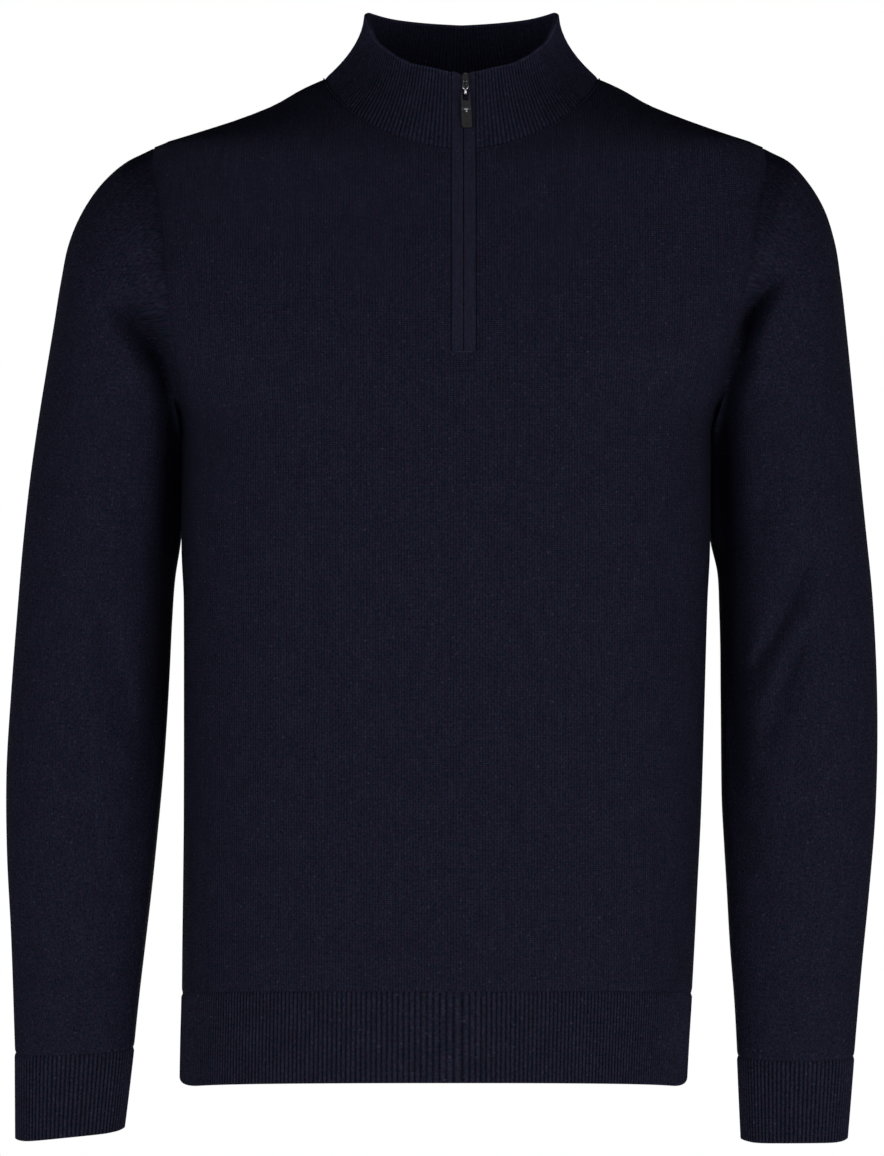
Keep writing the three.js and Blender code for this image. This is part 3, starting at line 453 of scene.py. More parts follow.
def cell_corners(rows, columns, width, wrap):
    """Corner numbers of every cell of a grid, four to a cell."""
    i, j = np.meshgrid(np.arange(rows - 1), np.arange(columns if wrap else columns - 1), indexing="ij")
    after = (j + 1) % columns if wrap else j + 1
    numbers = np.stack((i * width + j, i * width + after, (i + 1) * width + after, (i + 1) * width + j), -1)
    flat = np.stack((i, j, i, j + 1, i + 1, j + 1, i + 1, j), -1).reshape(*i.shape, 4, 2)
    return numbers, flat


def shell(name, outer, inner, uv, keep=None, wrap=False, flip=False):
    """Cloth wall: the outer grid, the inner grid turned round, and a rim along each open edge."""
    rows, columns = outer.shape[:2]
    cells, spots = cell_corners(rows, columns, columns, wrap)
    if keep is not None:
        cells, spots = cells[keep], spots[keep]
    cells = cells.reshape(-1, 4)
    spots = spots.reshape(-1, 4, 2)
    if flip:
        cells, spots = cells[:, ::-1], spots[:, ::-1]
    count = rows * columns
    start, end = cells, np.roll(cells, -1, axis=1)
    code = start.astype(np.int64) * count + end
    other = end.astype(np.int64) * count + start
    open_edges = ~np.isin(code, other)
    first, last = start[open_edges], end[open_edges]
    rim = np.stack((last, first, first + count, last + count), -1)
    cell_uv = uv[spots[..., 0], spots[..., 1]]
    rim_first = cell_uv[open_edges]
    rim_last = np.roll(cell_uv, -1, axis=1)[open_edges]
    rim_uv = np.stack((rim_last, rim_first, rim_first, rim_last), 1)
    faces = np.concatenate((cells, cells[:, ::-1] + count, rim))
    corner_uv = np.concatenate((cell_uv, cell_uv[:, ::-1], rim_uv))
    points = np.concatenate((outer.reshape(-1, 3), inner.reshape(-1, 3)))
    return new_mesh(name, points, faces, corner_uv)


def closed_tube(name, rings, flip=False, sharp=0.9):
    """Tube of closed rings whose ends are drawn in to their middles."""
    ends = [np.repeat(rings[k].mean(axis=0)[None], rings.shape[1], axis=0)[None] for k in (0, -1)]
    rings = np.concatenate((ends[0], rings, ends[1]))
    rows, columns = rings.shape[:2]
    cells, spots = cell_corners(rows, columns, columns, True)
    cells, spots = cells.reshape(-1, 4), spots.reshape(-1, 4, 2)
    if flip:
        cells, spots = cells[:, ::-1], spots[:, ::-1]
    around = arc_lengths(np.concatenate((rings, rings[:, :1]), axis=1), 1)
    along = np.repeat(arc_lengths(rings, 0)[:, :1], columns + 1, axis=1)
    uv = np.stack((around, along), -1)[spots[..., 0], spots[..., 1]]
    piece = new_mesh(name, rings.reshape(-1, 3), cells, uv, sharp)
    merge_points(piece)
    return piece


def merge_points(piece, distance=1e-6):
    """Merges points that lie together, so that drawn-in ends are closed."""
    import bmesh
    work = bmesh.new()
    work.from_mesh(piece.data)
    bmesh.ops.remove_doubles(work, verts=work.verts, dist=distance)
    bmesh.ops.dissolve_degenerate(work, edges=work.edges, dist=distance)
    work.to_mesh(piece.data)
    work.free()
    piece.data.update()


def seam_dip(distance, depth, width):
    """Groove beside a seam: a bell of the distance from it."""
    return depth * np.exp(-((distance / width) ** 2))


def side_shares():
    """Shares from a panel's middle to its edge, closer together beside both seams."""
    even = np.linspace(0, 1, SIDE_CELLS + 1)
    close = np.array([0.003, 0.0065, 0.012])
    return np.concatenate(([0], close, even[1:-1], 1 - close[::-1], [1]))


def panel_rows(face):
    """Fine row numbers of a panel with the height of each row's outer end and the place of its inner ends."""
    first_lower = NECK_ROW if face < 0 else SHOULDER_ROW
    numbers = np.arange(len(PANEL_OUTER), dtype=float)
    angles = np.array(NECK_ANGLES[face], float)
    neck_heights = -(FRONT_DROP if face < 0 else BACK_DROP) * np.cos(np.radians(angles))
    middle = np.concatenate((neck_heights[:first_lower], PANEL_MIDDLE[face]))
    row = fine_steps((PANEL_OUTER, middle), ROW_PITCH)
    outer = curve({"row": numbers, "height": PANEL_OUTER}, "row", "height", row)
    lower = {"row": numbers[first_lower:], "height": PANEL_MIDDLE[face]}
    ends = {}
    for side in (-1, 1):
        edge = abs(SLIT[side]) if face < 0 else BACK_FLAT
        last_angle = np.degrees(np.arcsin(edge / NECK_HALF))
        knots = np.concatenate((angles[:first_lower], [last_angle]))
        angle = np.radians(curve({"row": numbers[:len(knots)], "angle": knots}, "row", "angle", row))
        if face < 0:
            neck_z = -FRONT_DROP * np.cos(angle) ** FRONT_DROP_POWER
        else:
            neck_z = -BACK_DROP * np.cos(angle) ** BACK_DROP_POWER
        inner_x = np.where(row < first_lower, NECK_HALF * np.sin(angle), edge)
        inner_z = np.where(row < first_lower, neck_z, curve(lower, "row", "height", row))
        ends[side] = (inner_x, inner_z)
    return row, outer, ends


def profile_length(face, z):
    """Length down the middle of a panel to each height."""
    heights = np.linspace(0, -0.7, 281)
    depths = curve(BODY, "height", face_name(face), heights)
    lengths = np.concatenate(([0], np.cumsum(np.hypot(np.diff(heights), np.diff(depths)))))
    return np.interp(-z, -heights, lengths)


def fold_in(face, points):
    """Points moved towards the garment's middle plane by the folds."""
    moved = points.copy()
    share = np.minimum(1, np.abs(points[..., 1]) / FOLD_FADE_DEPTH)
    moved[..., 1] -= face * fold_depth(face, points[..., 0], points[..., 2]) * share
    return moved


def panel_grid(face):
    """Grid of one body panel: left half from its edge inwards, centre strip, right half outwards."""
    row, outer, ends = panel_rows(face)
    s = side_shares()
    halves = {}
    for side in (-1, 1):
        inner_x, inner_z = ends[side]
        halves[side] = body_point(face, side, inner_x[:, None], inner_z[:, None], outer[:, None], s[None])
    left_x, right_x = -ends[-1][0], ends[1][0]
    share = (np.arange(1, CENTRE_CELLS) / CENTRE_CELLS)[None]
    x = left_x[:, None] + (right_x - left_x)[:, None] * share
    z = ends[-1][1][:, None] + (ends[1][1] - ends[-1][1])[:, None] * share
    width = np.where(x < 0, half_width(face, -1, z), half_width(face, 1, z))
    round_off = np.clip(1 - (np.abs(x) / width) ** SECTION_POWER, 0, 1) ** (1 / SECTION_POWER)
    centre = np.stack((x, face * curve(BODY, "height", face_name(face), z) * round_off, z), -1)
    plain = np.concatenate((halves[-1][:, ::-1], centre, halves[1]), axis=1)
    length = arc_lengths(plain, 1)
    left_edge = len(s) - 1
    right_edge = left_edge + CENTRE_CELLS
    across = np.empty(plain.shape[:2])
    across[:, :left_edge + 1] = -(np.abs(left_x)[:, None] + length[:, left_edge:left_edge + 1]
                                  - length[:, :left_edge + 1])
    across[:, left_edge + 1:right_edge] = x
    across[:, right_edge:] = np.abs(right_x)[:, None] + length[:, right_edge:] - length[:, right_edge:right_edge + 1]
    uv = np.stack((across, -profile_length(face, plain[..., 2])), -1)
    return {"row": row, "plain": plain, "uv": uv, "length": length, "left": left_edge, "right": right_edge}


def panel_walls(face, sizes):
    """Outer and inner grids of a panel with folds and seam grooves, and which cells are cloth."""
    grid = panel_grid(face)
    points = fold_in(face, grid["plain"])
    normals = numeric_normals(points) * face
    length, row = grid["length"], grid["row"]
    left, right = grid["left"], grid["right"]
    to_outer = np.minimum(length, length[:, -1:] - length)
    neck = np.minimum(np.abs(length - length[:, left:left + 1]), np.abs(length - length[:, right:right + 1]))
    dip = seam_dip(to_outer, sizes.seam_groove, 1.3 * MM)
    dip += np.where((row <= OPEN_ROW[face])[:, None], seam_dip(neck, sizes.seam_groove, 1.3 * MM), 0)
    last_rows = length[:, :1] * 0 + (arc_lengths(points, 0)[-1:, :] - arc_lengths(points, 0))
    dip += seam_dip(last_rows, sizes.seam_groove, 1.5 * MM)
    outer = points - normals * dip[..., None]
    inner = points - normals * sizes.panel_wall
    keep = np.ones((len(row) - 1, points.shape[1] - 1), bool)
    keep[row[:-1] < OPEN_ROW[face], left:right] = False
    return {**grid, "points": points, "normals": normals, "outer": outer, "inner": inner, "keep": keep}


def armhole_loop(side, walls):
    """Armhole edge from the shoulder down the front to the armpit and up the back, with its cloth frame."""
    column = 0 if side < 0 else -1
    parts = {}
    for face in (-1, 1):
        panel = walls[face]
        rows = np.flatnonzero((panel["row"] >= SHOULDER_ROW) & (panel["row"] <= ARMPIT_ROW))
        parts[face] = {key: panel[key][rows, column] for key in ("plain", "normals")}
        parts[face]["row"] = panel["row"][rows]
    front, back = parts[-1], parts[1]
    loop = {}
    for key in ("plain", "normals", "row"):
        down = front[key]
        up = back[key]
        if len(up) != len(down):
            up = resample(back["row"], up, front["row"])
        loop[key] = np.concatenate((down, up[1:-1][::-1]))
    half = len(front["row"]) - 1
    loop["half"] = half
    loop["face"] = np.where(np.arange(len(loop["plain"])) <= half, -1, 1)
    loop["normals"][[0, half], 1] = 0
    loop["normals"] = unit(loop["normals"])
    along = np.roll(loop["plain"], -1, axis=0) - np.roll(loop["plain"], 1, axis=0)
    off = unit(np.cross(loop["normals"], along))
    loop["off"] = off * np.sign(off[0, 0] * side)
    return loop


def resample(knots, values, at):
    """Values at new knots, straight between the old ones."""
    if values.ndim == 1:
        return np.interp(at, knots, values)
    return np.stack([np.interp(at, knots, values[:, k]) for k in range(values.shape[1])], -1)


def ring_points(ring, angle, face):
    """Points of sleeve ovals: the middle, plus half the width times the cosine and half the depth times the sine."""
    share = np.cos(angle)
    x = (ring["out_x"] + ring["in_x"]) / 2 + (ring["out_x"] - ring["in_x"]) / 2 * share
    z = (ring["out_z"] + ring["in_z"]) / 2 + (ring["out_z"] - ring["in_z"]) / 2 * share
    y = ring["back"] + face * ring["depth"] * np.sin(angle)
    return np.stack(np.broadcast_arrays(x, y, z), axis=-1)


def smooth_rows(control, first_tangent, counts):
    """Hermite curves down the columns of a control grid, with parabolic tangents and own chord lengths."""
    steps = np.diff(control, axis=0)
    chord = np.maximum(np.linalg.norm(steps, axis=-1, keepdims=True), 1e-9)
    slope = steps / chord
    inner = (slope[:-1] * chord[1:] + slope[1:] * chord[:-1]) / (chord[:-1] + chord[1:])
    tangent = np.concatenate((first_tangent[None], inner, slope[-1:]))
    rows, levels = [], []
    for k, shares in enumerate(counts):
        t = shares[:, None, None]
        rise = t * t * (3 - 2 * t)
        leave = t * (1 - t) ** 2 * chord[k]
        arrive = t * t * (t - 1) * chord[k]
        rows.append(control[k] * (1 - rise) + control[k + 1] * rise + tangent[k] * leave + tangent[k + 1] * arrive)
        levels.append(k + shares)
    rows.append(control[-1:])
    levels.append([len(counts)])
    return np.concatenate(rows), np.concatenate(levels)


def sleeve_grid(side, walls):
    """Sleeve from the armhole over its crown and down through its rings."""
    loop = armhole_loop(side, walls)
    rings = SLEEVE_RINGS[side]
    levels = len(rings["out_x"])
    share = (loop["row"] - SHOULDER_ROW) / (ARMPIT_ROW - SHOULDER_ROW)
    even = share * np.pi
    fallen = (SHOULDER_TIP - loop["plain"][:, 2]) / (SHOULDER_TIP - ARMPIT)
    own = np.arccos(np.clip(1 - 2 * fallen, -1, 1))
    blend = np.minimum(1, np.arange(levels) / ANGLE_BLEND_RINGS)[:, None]
    angle = own + (even - own) * blend
    columns = {name: values[:, None] for name, values in rings.items()}
    ring_grid = ring_points(columns, angle, loop["face"])
    ring_grid[..., 1] += curve(TUCK, "inner", "tuck", columns["in_z"]) * ((1 - np.cos(angle)) / 2) ** 2
    start = loop["plain"]
    armpit = np.clip((loop["row"] - ARMPIT_ROW + ARMPIT_STEPS) / ARMPIT_STEPS, 0, 1)
    gap = np.linalg.norm(ring_grid[0] - start, axis=-1)
    reach = gap * (CREST_REACH + (ARMPIT_REACH - CREST_REACH) * armpit)
    control = start + loop["off"] * reach[:, None]
    crest = (start + 2 * control + ring_grid[0]) / 4
    grid = np.concatenate((start[None], crest[None], ring_grid))
    chords = np.linalg.norm(np.diff(grid, axis=0), axis=-1).max(axis=1)
    counts = [np.arange(n) / n for n in np.maximum(2, np.round(chords / RING_PITCH)).astype(int)]
    counts[0] = np.array([0, 0.04, 0.09, 0.17, 0.3, 0.5, 0.75])
    counts[-1] = np.concatenate((counts[-1], [0.97, 0.985, 0.995]))
    points, level = smooth_rows(grid, loop["off"], counts)
    sines = np.concatenate((np.tile(np.minimum(1, np.abs(start[:, 1]) / FOLD_FADE_DEPTH), (2, 1)), np.sin(angle)))
    weights = np.stack([np.interp(level, np.arange(len(sines)), sines[:, k]) for k in range(sines.shape[1])], -1)
    folds = np.where(loop["face"] < 0, fold_depth(-1, points[..., 0], points[..., 2]),
                     fold_depth(1, points[..., 0], points[..., 2]))
    points[..., 1] -= loop["face"] * folds * weights
    return points, loop


def sleeve_uv(points, side):
    """UV of a sleeve: width from its outer line as the turn times the mean half size of the oval, and height."""
    rings = SLEEVE_RINGS[side]
    height = points[..., 2]
    armhole = [(SHOULDER_TIP, SHOULDER_TIP), (ARMPIT, ARMPIT)]
    tip, pit = (side * curve(SIDE_ROWS, "height", "left" if side < 0 else "right", z[0]) for z in armhole)
    outer_knots = np.concatenate(([SHOULDER_TIP], rings["out_z"]))[::-1]
    outer = np.interp(height, outer_knots, np.concatenate(([tip], rings["out_x"]))[::-1])
    inner_knots = np.concatenate(([SHOULDER_TIP, ARMPIT], rings["in_z"]))[::-1]
    inner = np.interp(height, inner_knots, np.concatenate(([tip, pit], rings["in_x"]))[::-1])
    deep = np.interp(height, inner_knots, np.concatenate(([0.02, rings["depth"][0]], rings["depth"]))[::-1])
    back = np.interp(height, inner_knots, np.concatenate(([0, 0], rings["back"]))[::-1])
    turn = np.arctan2(points[..., 1] - back, side * (points[..., 0] - (outer + inner) / 2))
    turn = np.unwrap(turn, axis=1)
    turn -= 2 * np.pi * np.round(turn[:, [turn.shape[1] // 2]] / (2 * np.pi))
    radius = (np.abs(outer - inner) / 2 + deep) / 2
    return np.stack((turn * radius, height), -1)


def build_sleeve(side, walls, sizes):
    """Sleeve wall with its armhole and cuff seams."""
    points, loop = sleeve_grid(side, walls)
    points = np.roll(points, -loop["half"], axis=1)
    normals = numeric_normals(points, wrap=True) * side
    outward = points - points.mean(axis=1, keepdims=True)
    if np.mean(np.sum(normals * outward, axis=-1)) < 0:
        normals = -normals
    length = arc_lengths(points, 0)
    dip = seam_dip(length, sizes.seam_groove, 1.3 * MM)
    dip += seam_dip(length[-1:] - length, sizes.seam_groove, 1.5 * MM)
    outer = points - normals * dip[..., None]
    inner = points - normals * sizes.panel_wall
    uv = sleeve_uv(np.concatenate((points, points[:, :1]), axis=1), side)
    name = "sleeve_cloth_right" if side < 0 else "sleeve_cloth_left"
    piece = shell(name, outer, inner, uv, wrap=True, flip=side > 0)
    return piece


def rib_offsets(phase, sizes):
    """Outer and inner offsets of a rib wall: round ridges between narrow valleys, turned over inside."""
    ridge = np.abs(np.sin(np.pi * phase))
    outer = sizes.rib_proud - sizes.rib_relief * (1 - ridge)
    inner = sizes.rib_proud - sizes.rib_wall + 0.5 * sizes.rib_relief * (1 - np.abs(np.cos(np.pi * phase)))
    return outer, inner


def edge_rounding(count=5):
    """Shares of a round free edge: how far out along the wall's end and how much of its half thickness is left."""
    turn = np.linspace(0, np.pi / 2, count + 1)[1:]
    return np.sin(turn), np.cos(turn)


def band_levels(length, wall, seam_rows=True):
    """Levels down a band with a soft seam at its top and a round free edge: level, shrink and distance to the seam."""
    near = np.array([0, 0.5, 1.1, 2.2]) * MM if seam_rows else np.array([0.0])
    body = np.linspace(near[-1] + 4 * MM, length - wall / 2 - 1 * MM, 9)
    along = np.concatenate((near, body, [length - wall / 2]))
    reach, left = edge_rounding()
    along = np.concatenate((along, length - wall / 2 + reach * wall / 2))
    shrink = np.concatenate((np.ones(len(near) + len(body) + 1), left))
    return along / length, shrink, along


def band_walls(spot, outward, offsets, shrink, dip):
    """Outer and inner grids of a band about its base points; both close on the wall's middle at the free edge."""
    outer_offset, inner_offset = offsets
    middle = (outer_offset.mean() + inner_offset.mean()) / 2
    outer = middle + (outer_offset - middle) * shrink[:, None] - dip[:, None]
    inner = middle + (inner_offset - middle) * shrink[:, None]
    return spot + outward * outer[..., None], spot + outward * inner[..., None]


def build_hem(face, sizes):
    """Hem band: points of the body's oval carried down, with ribs in its outer and inner offsets."""
    columns = sizes.hem_ribs * RIB_POINTS // 2
    turn = np.linspace(-90, 90, columns + 1)
    side = np.where(turn < 0, -1, 1)
    angle = np.abs(turn)
    s = angle / 90
    past = np.clip((angle - HEM_CORNER_START) / (90 - HEM_CORNER_START), 0, 1)
    top = HEM_TOP[face] + (HEM_TOP_SIDE - HEM_TOP[face]) * s * s
    bottom = HEM_BOTTOM[face] + (HEM_BOTTOM_SIDE - HEM_BOTTOM[face]) * s * s + HEM_CORNER * past * past
    level, shrink, distance = band_levels(abs(HEM_TOP_SIDE - HEM_BOTTOM_SIDE), sizes.rib_wall)
    z = top + (bottom - top) * level[:, None]
    share = np.sin(np.radians(angle)) ** (2 / SECTION_POWER)
    deep = np.maximum(np.cos(np.radians(angle)), 0) ** (2 / SECTION_POWER)
    half = np.where(side < 0, half_width(face, -1, z), half_width(face, 1, z))
    depth = curve(BODY, "height", face_name(face), z)
    x = side * half * share
    plain = np.stack((x, face * depth * deep * np.ones_like(x), z), -1)
    spot = fold_in(face, plain)
    out_x = side * share ** (SECTION_POWER - 1) / half
    out_y = face * deep ** (SECTION_POWER - 1) / depth
    outward = unit(np.stack((out_x, out_y, np.zeros_like(out_x)), -1))
    phase = np.arange(columns + 1) / RIB_POINTS
    dip = seam_dip(distance, sizes.seam_groove, 1.2 * MM)
    outer, inner = band_walls(spot, outward, rib_offsets(phase, sizes), shrink, dip)
    uv = np.stack((np.broadcast_to(phase * RIB_PITCH, z.shape), z), -1)
    piece = shell("hem_band_front" if face < 0 else "hem_band_back", outer, inner, uv, flip=face > 0)
    return piece


def build_cuff(side, sizes):
    """Cuff: ovals between the sleeve's last ring and the wrist, with ribs in its offsets."""
    upper = {name: values[-1] for name, values in SLEEVE_RINGS[side].items()}
    lower = {name: values[0] for name, values in CUFF_RINGS[side].items()}
    columns = sizes.cuff_ribs * RIB_POINTS
    turn = np.arange(columns) / columns * 2 * np.pi
    face = np.where(turn <= np.pi, -1, 1)
    angle = np.where(turn <= np.pi, turn, 2 * np.pi - turn)
    length = abs(upper["out_z"] - lower["out_z"])
    level, shrink, distance = band_levels(length, sizes.rib_wall)
    ring = {name: (upper[name] + (lower[name] - upper[name]) * level)[:, None] for name in RING_NAMES}
    spot = ring_points(ring, angle[None], face[None])
    corner = CUFF_CORNER * np.abs(np.cos(angle)) ** CUFF_CORNER_POWER
    tilt = CUFF_TILT * face * np.sin(angle)
    spot[..., 2] += corner[None] * level[:, None] ** 3 - tilt[None] * level[:, None]
    half_x = (ring["out_x"] - ring["in_x"]) / 2
    half_z = (ring["out_z"] - ring["in_z"]) / 2
    wide = np.hypot(half_x, half_z)
    share = np.cos(angle)[None]
    outward = np.stack((half_x / wide * share * ring["depth"],
                        face[None] * np.sin(angle)[None] * wide,
                        half_z / wide * share * ring["depth"]), -1)
    phase = np.arange(columns) / RIB_POINTS
    dip = seam_dip(distance, sizes.seam_groove, 1.2 * MM)
    outer, inner = band_walls(spot, unit(outward), rib_offsets(phase, sizes), shrink, dip)
    around = np.arange(columns + 1) / RIB_POINTS * RIB_PITCH
    down = (distance[:, None] * -1) * np.ones(columns + 1)
    uv = np.stack((np.broadcast_to(around, down.shape), down), -1)
    return shell("cuff_band_right" if side < 0 else "cuff_band_left", outer, inner, uv, wrap=True, flip=side < 0)


def neckline(walls):
    """Neckline from the slit on the left, round the back, to the slit on the right: points, normals and way off."""
    parts = []
    for face, side, up in ((-1, -1, True), (1, -1, False), (1, 1, True), (-1, 1, False)):
        panel = walls[face]
        last = NECK_ROW if face < 0 else SHOULDER_ROW
        rows = np.flatnonzero(panel["row"] <= last)
        rows = rows[::-1] if up else rows
        column = panel["left"] if side < 0 else panel["right"]
        inside = column - 4 if side < 0 else column + 4
        spots = panel["points"][rows, column]
        parts.append((spots, panel["normals"][rows, column], spots - panel["points"][rows, inside]))
    points, normals, away = (np.concatenate([part[k] for part in parts]) for k in range(3))
    lengths = np.concatenate(([0], np.cumsum(np.linalg.norm(np.diff(points, axis=0), axis=-1))))
    fresh = np.concatenate(([True], np.diff(lengths) > 0.05 * MM))
    points, normals, away, lengths = points[fresh], normals[fresh], away[fresh], lengths[fresh]
    even = np.linspace(0, lengths[-1], 481)
    points, normals, away = (resample(lengths, values, even) for values in (points, normals, away))
    kernel = np.hanning(27)[1:-1] / np.hanning(27).sum()
    padded = np.pad(normals, ((12, 12), (0, 0)), mode="edge")
    normals = unit(np.stack([np.convolve(padded[:, k], kernel, mode="valid") for k in range(3)], -1))
    along = np.gradient(points, axis=0)
    off = unit(np.cross(along, normals))
    sign = np.sign(np.sum(off * away, axis=-1).mean())
    return {"share": even / even[-1], "length": even[-1], "points": points, "normals": normals, "off": off * sign}


def collar_spots(share, level, neck):
    """Middle surface of the collar: base and top edge joined, drawn in fast above the seam."""
    base = resample(neck["share"], neck["points"], share)
    side = np.where(share < 0.5, -1, 1)
    across = np.degrees(np.arcsin(np.clip(np.abs(base[:, 0]) / NECK_HALF, 0, 1)))
    angle = np.where(base[:, 1] < 0, across, 180 - across)
    slit = np.where(side < 0, abs(SLIT[-1]), abs(SLIT[1]))
    base_start = np.degrees(np.arcsin(slit / NECK_HALF))
    top_start = np.degrees(np.arcsin(slit / COLLAR_TOP_HALF))
    turn = top_start + (180 - top_start) * np.clip(angle - base_start, 0, None) / (180 - base_start)
    sine, cosine = np.sin(np.radians(turn)), np.cos(np.radians(turn))
    flare = COLLAR_FLARE_FRONT + (COLLAR_FLARE_SIDE - COLLAR_FLARE_FRONT) * sine ** 2
    top = np.stack((side * COLLAR_TOP_HALF * sine,
                    np.where(cosine > 0, -COLLAR_TOP_FRONT, -COLLAR_TOP_BACK) * cosine,
                    curve(COLLAR_TOP, "angle", "height", turn)), -1)
    fade = (1 - np.clip(level, 0, 1))[:, None] ** flare[None]
    x = top[None, :, 0] + (base[None, :, 0] - top[None, :, 0]) * fade
    y = top[None, :, 1] + (base[None, :, 1] - top[None, :, 1]) * fade
    z = base[None, :, 2] + (top[None, :, 2] - base[None, :, 2]) * level[:, None]
    return np.stack((x, y, z), -1)


def build_collar(neck, sizes):
    """Stand collar of doubled rib knit, with a round fold along its top edge."""
    columns = sizes.collar_ribs * RIB_POINTS
    share = np.arange(columns + 1) / columns
    height = 50 * MM
    level, shrink, distance = band_levels(height, sizes.collar_wall)
    spot = collar_spots(share, level, neck)
    coarse = collar_spots(np.linspace(0, 1, 241), level, neck)
    normals = numeric_normals(coarse)
    outward = coarse - np.array([0, -10 * MM, 0])
    outward[..., 2] = 0
    if np.sum(normals * outward) < 0:
        normals = -normals
    seam_share = np.clip(1 - level / 0.25, 0, 1)[:, None, None]
    at_seam = resample(neck["share"], neck["normals"], np.linspace(0, 1, 241))[None]
    normals = unit(normals * (1 - seam_share) + at_seam * seam_share)
    normals[:, [0, -1], 0] = 0
    normals = unit(normals)
    normals = np.stack([resample(np.linspace(0, 1, 241), row, share) for row in normals])
    normals = unit(normals)
    phase = np.arange(columns + 1) / RIB_POINTS
    ridge = np.abs(np.sin(np.pi * phase))
    outer_offset = sizes.rib_proud - sizes.rib_relief * (1 - ridge)
    inner_offset = sizes.rib_proud - sizes.collar_wall + 0.5 * sizes.rib_relief * (1 - ridge)
    dip = seam_dip(distance, 0.6 * MM, 1.2 * MM)
    outer, inner = band_walls(spot, normals, (outer_offset, inner_offset), shrink, dip)
    for grid in (outer, inner):
        grid[:, 0, 0] = SLIT[-1]
        grid[:, -1, 0] = SLIT[1]
    uv = np.stack((np.broadcast_to(phase * RIB_PITCH, spot.shape[:2]),
                   np.broadcast_to((level * height)[:, None], spot.shape[:2])), -1)
    return shell("collar_rib", outer, inner, uv, flip=False)


def zip_path(walls, neck):
    """Points in Y and Z up the zip, from the bottom of the slit to the collar's top edge, evenly spaced."""
    panel = walls[-1]
    rows = np.flatnonzero((panel["row"] >= NECK_ROW) & (panel["row"] <= SLIT_ROW))[::-1]
    low = panel["points"][rows, panel["left"]][:, 1:]
    high = collar_spots(np.array([0.0]), np.linspace(0.02, 1, 25), neck)[:, 0, 1:]
    path = np.concatenate((low, high))
    lengths = np.concatenate(([0], np.cumsum(np.linalg.norm(np.diff(path, axis=0), axis=-1))))
    even = np.linspace(0, lengths[-1], 161)
    path = resample(lengths, path, even)
    kernel = np.hanning(13)[1:-1] / np.hanning(13).sum()
    smooth = np.stack([np.convolve(np.pad(path[:, k], 5, mode="reflect", reflect_type="odd"), kernel, mode="valid")
                       for k in range(2)], -1)
    return even, smooth


def path_frame(lengths, path, at):
    """Point, direction up the path and outward normal in Y and Z at lengths along the zip."""
    spot = resample(lengths, path, at)
    slope = np.gradient(path, lengths, axis=0)
    along = unit(resample(lengths, slope, at))
    outward = np.stack((-along[:, 1], along[:, 0]), -1)
    return spot, along, outward


def build_tape(side, lengths, path, sizes):
    """Tape: a flat section with round edges carried up the zip, its inner top corner rounded down."""
    total = lengths[-1]
    across = np.array([0, 0.01, 0.03, 0.07, 0.13, 0.3, 0.5, 0.7, 0.87, 0.93, 0.97, 0.99, 1])
    lift = sizes.tape_crown * np.minimum(1, np.sqrt(np.maximum(0, 1 - (2 * across - 1) ** 8)))
    section = np.concatenate((np.stack((across, lift), -1),
                              np.stack((across[::-1], -TAPE_WALL + 0 * across), -1)))
    along = np.concatenate((np.linspace(0, total - 12 * MM, 70), np.linspace(total - 11 * MM, total, 24)))
    drop = 3.5 * MM * (1 - section[:, 0]) ** 2
    edge = np.clip((along - (total - 12 * MM)) / (12 * MM), 0, 1)[:, None]
    at = along[:, None] - drop[None] * edge
    spot, _, outward = path_frame(lengths, path, at.ravel())
    spot, outward = spot.reshape(*at.shape, 2), outward.reshape(*at.shape, 2)
    x = ZIP_CENTRE + side * (TAPE_SPLIT + TAPE_WIDTH * section[:, 0])
    yz = spot + outward * (section[:, 1] + 0.1 * MM)[None, :, None]
    rings = np.concatenate((np.broadcast_to(x, at.shape)[..., None], yz), -1)
    return closed_tube("tape_right" if side < 0 else "tape_left", rings, flip=side > 0)


def ellipsoid(rows, columns):
    """Unit ball as rows by angle from its pole and columns round it: points and four-sided faces."""
    polar = np.linspace(0, np.pi, rows + 1)[:, None]
    turn = np.arange(columns)[None] / columns * 2 * np.pi
    points = np.stack((np.sin(polar) * np.cos(turn), np.sin(polar) * np.sin(turn), np.cos(polar) + 0 * turn), -1)
    cells, _ = cell_corners(rows + 1, columns, columns, True)
    return points.reshape(-1, 3), cells.reshape(-1, 4)


def scatter(name, points, faces, centres, axes):
    """Many copies of one small shape: centre plus its points along three own axes, in one mesh."""
    copies = centres[:, None] + np.einsum("pk,ckd->cpd", points, axes)
    count = len(points)
    all_faces = faces[None] + (np.arange(len(centres)) * count)[:, None, None]
    piece = new_mesh(name, copies.reshape(-1, 3), all_faces.reshape(-1, 4))
    merge_points(piece, 1e-7)
    return piece


def build_teeth(lengths, path):
    """Coil of the zip, behind the slit: one small oval bead for each turn of each side."""
    points, faces = ellipsoid(4, 6)
    pitch = 1.3 * MM
    at = np.arange(2 * MM, lengths[-1] - 4 * MM, pitch)
    centres, axes = [], []
    for side in (-1, 1):
        shifted = at + (pitch / 2 if side > 0 else 0)
        spot, along, outward = path_frame(lengths, path, shifted)
        count = len(at)
        x = np.full(count, ZIP_CENTRE + side * 0.9 * MM)
        yz = spot - outward * (TAPE_WALL + 0.3 * MM)
        centres.append(np.column_stack((x, yz)))
        zero = np.zeros(count)
        axes.append(np.stack((np.column_stack((np.full(count, 1.5 * MM), zero, zero)),
                              np.column_stack((zero, along * 0.48 * MM)),
                              np.column_stack((zero, outward * 0.6 * MM))), 1))
    return scatter("zip_coil", points, faces, np.concatenate(centres), np.concatenate(axes))


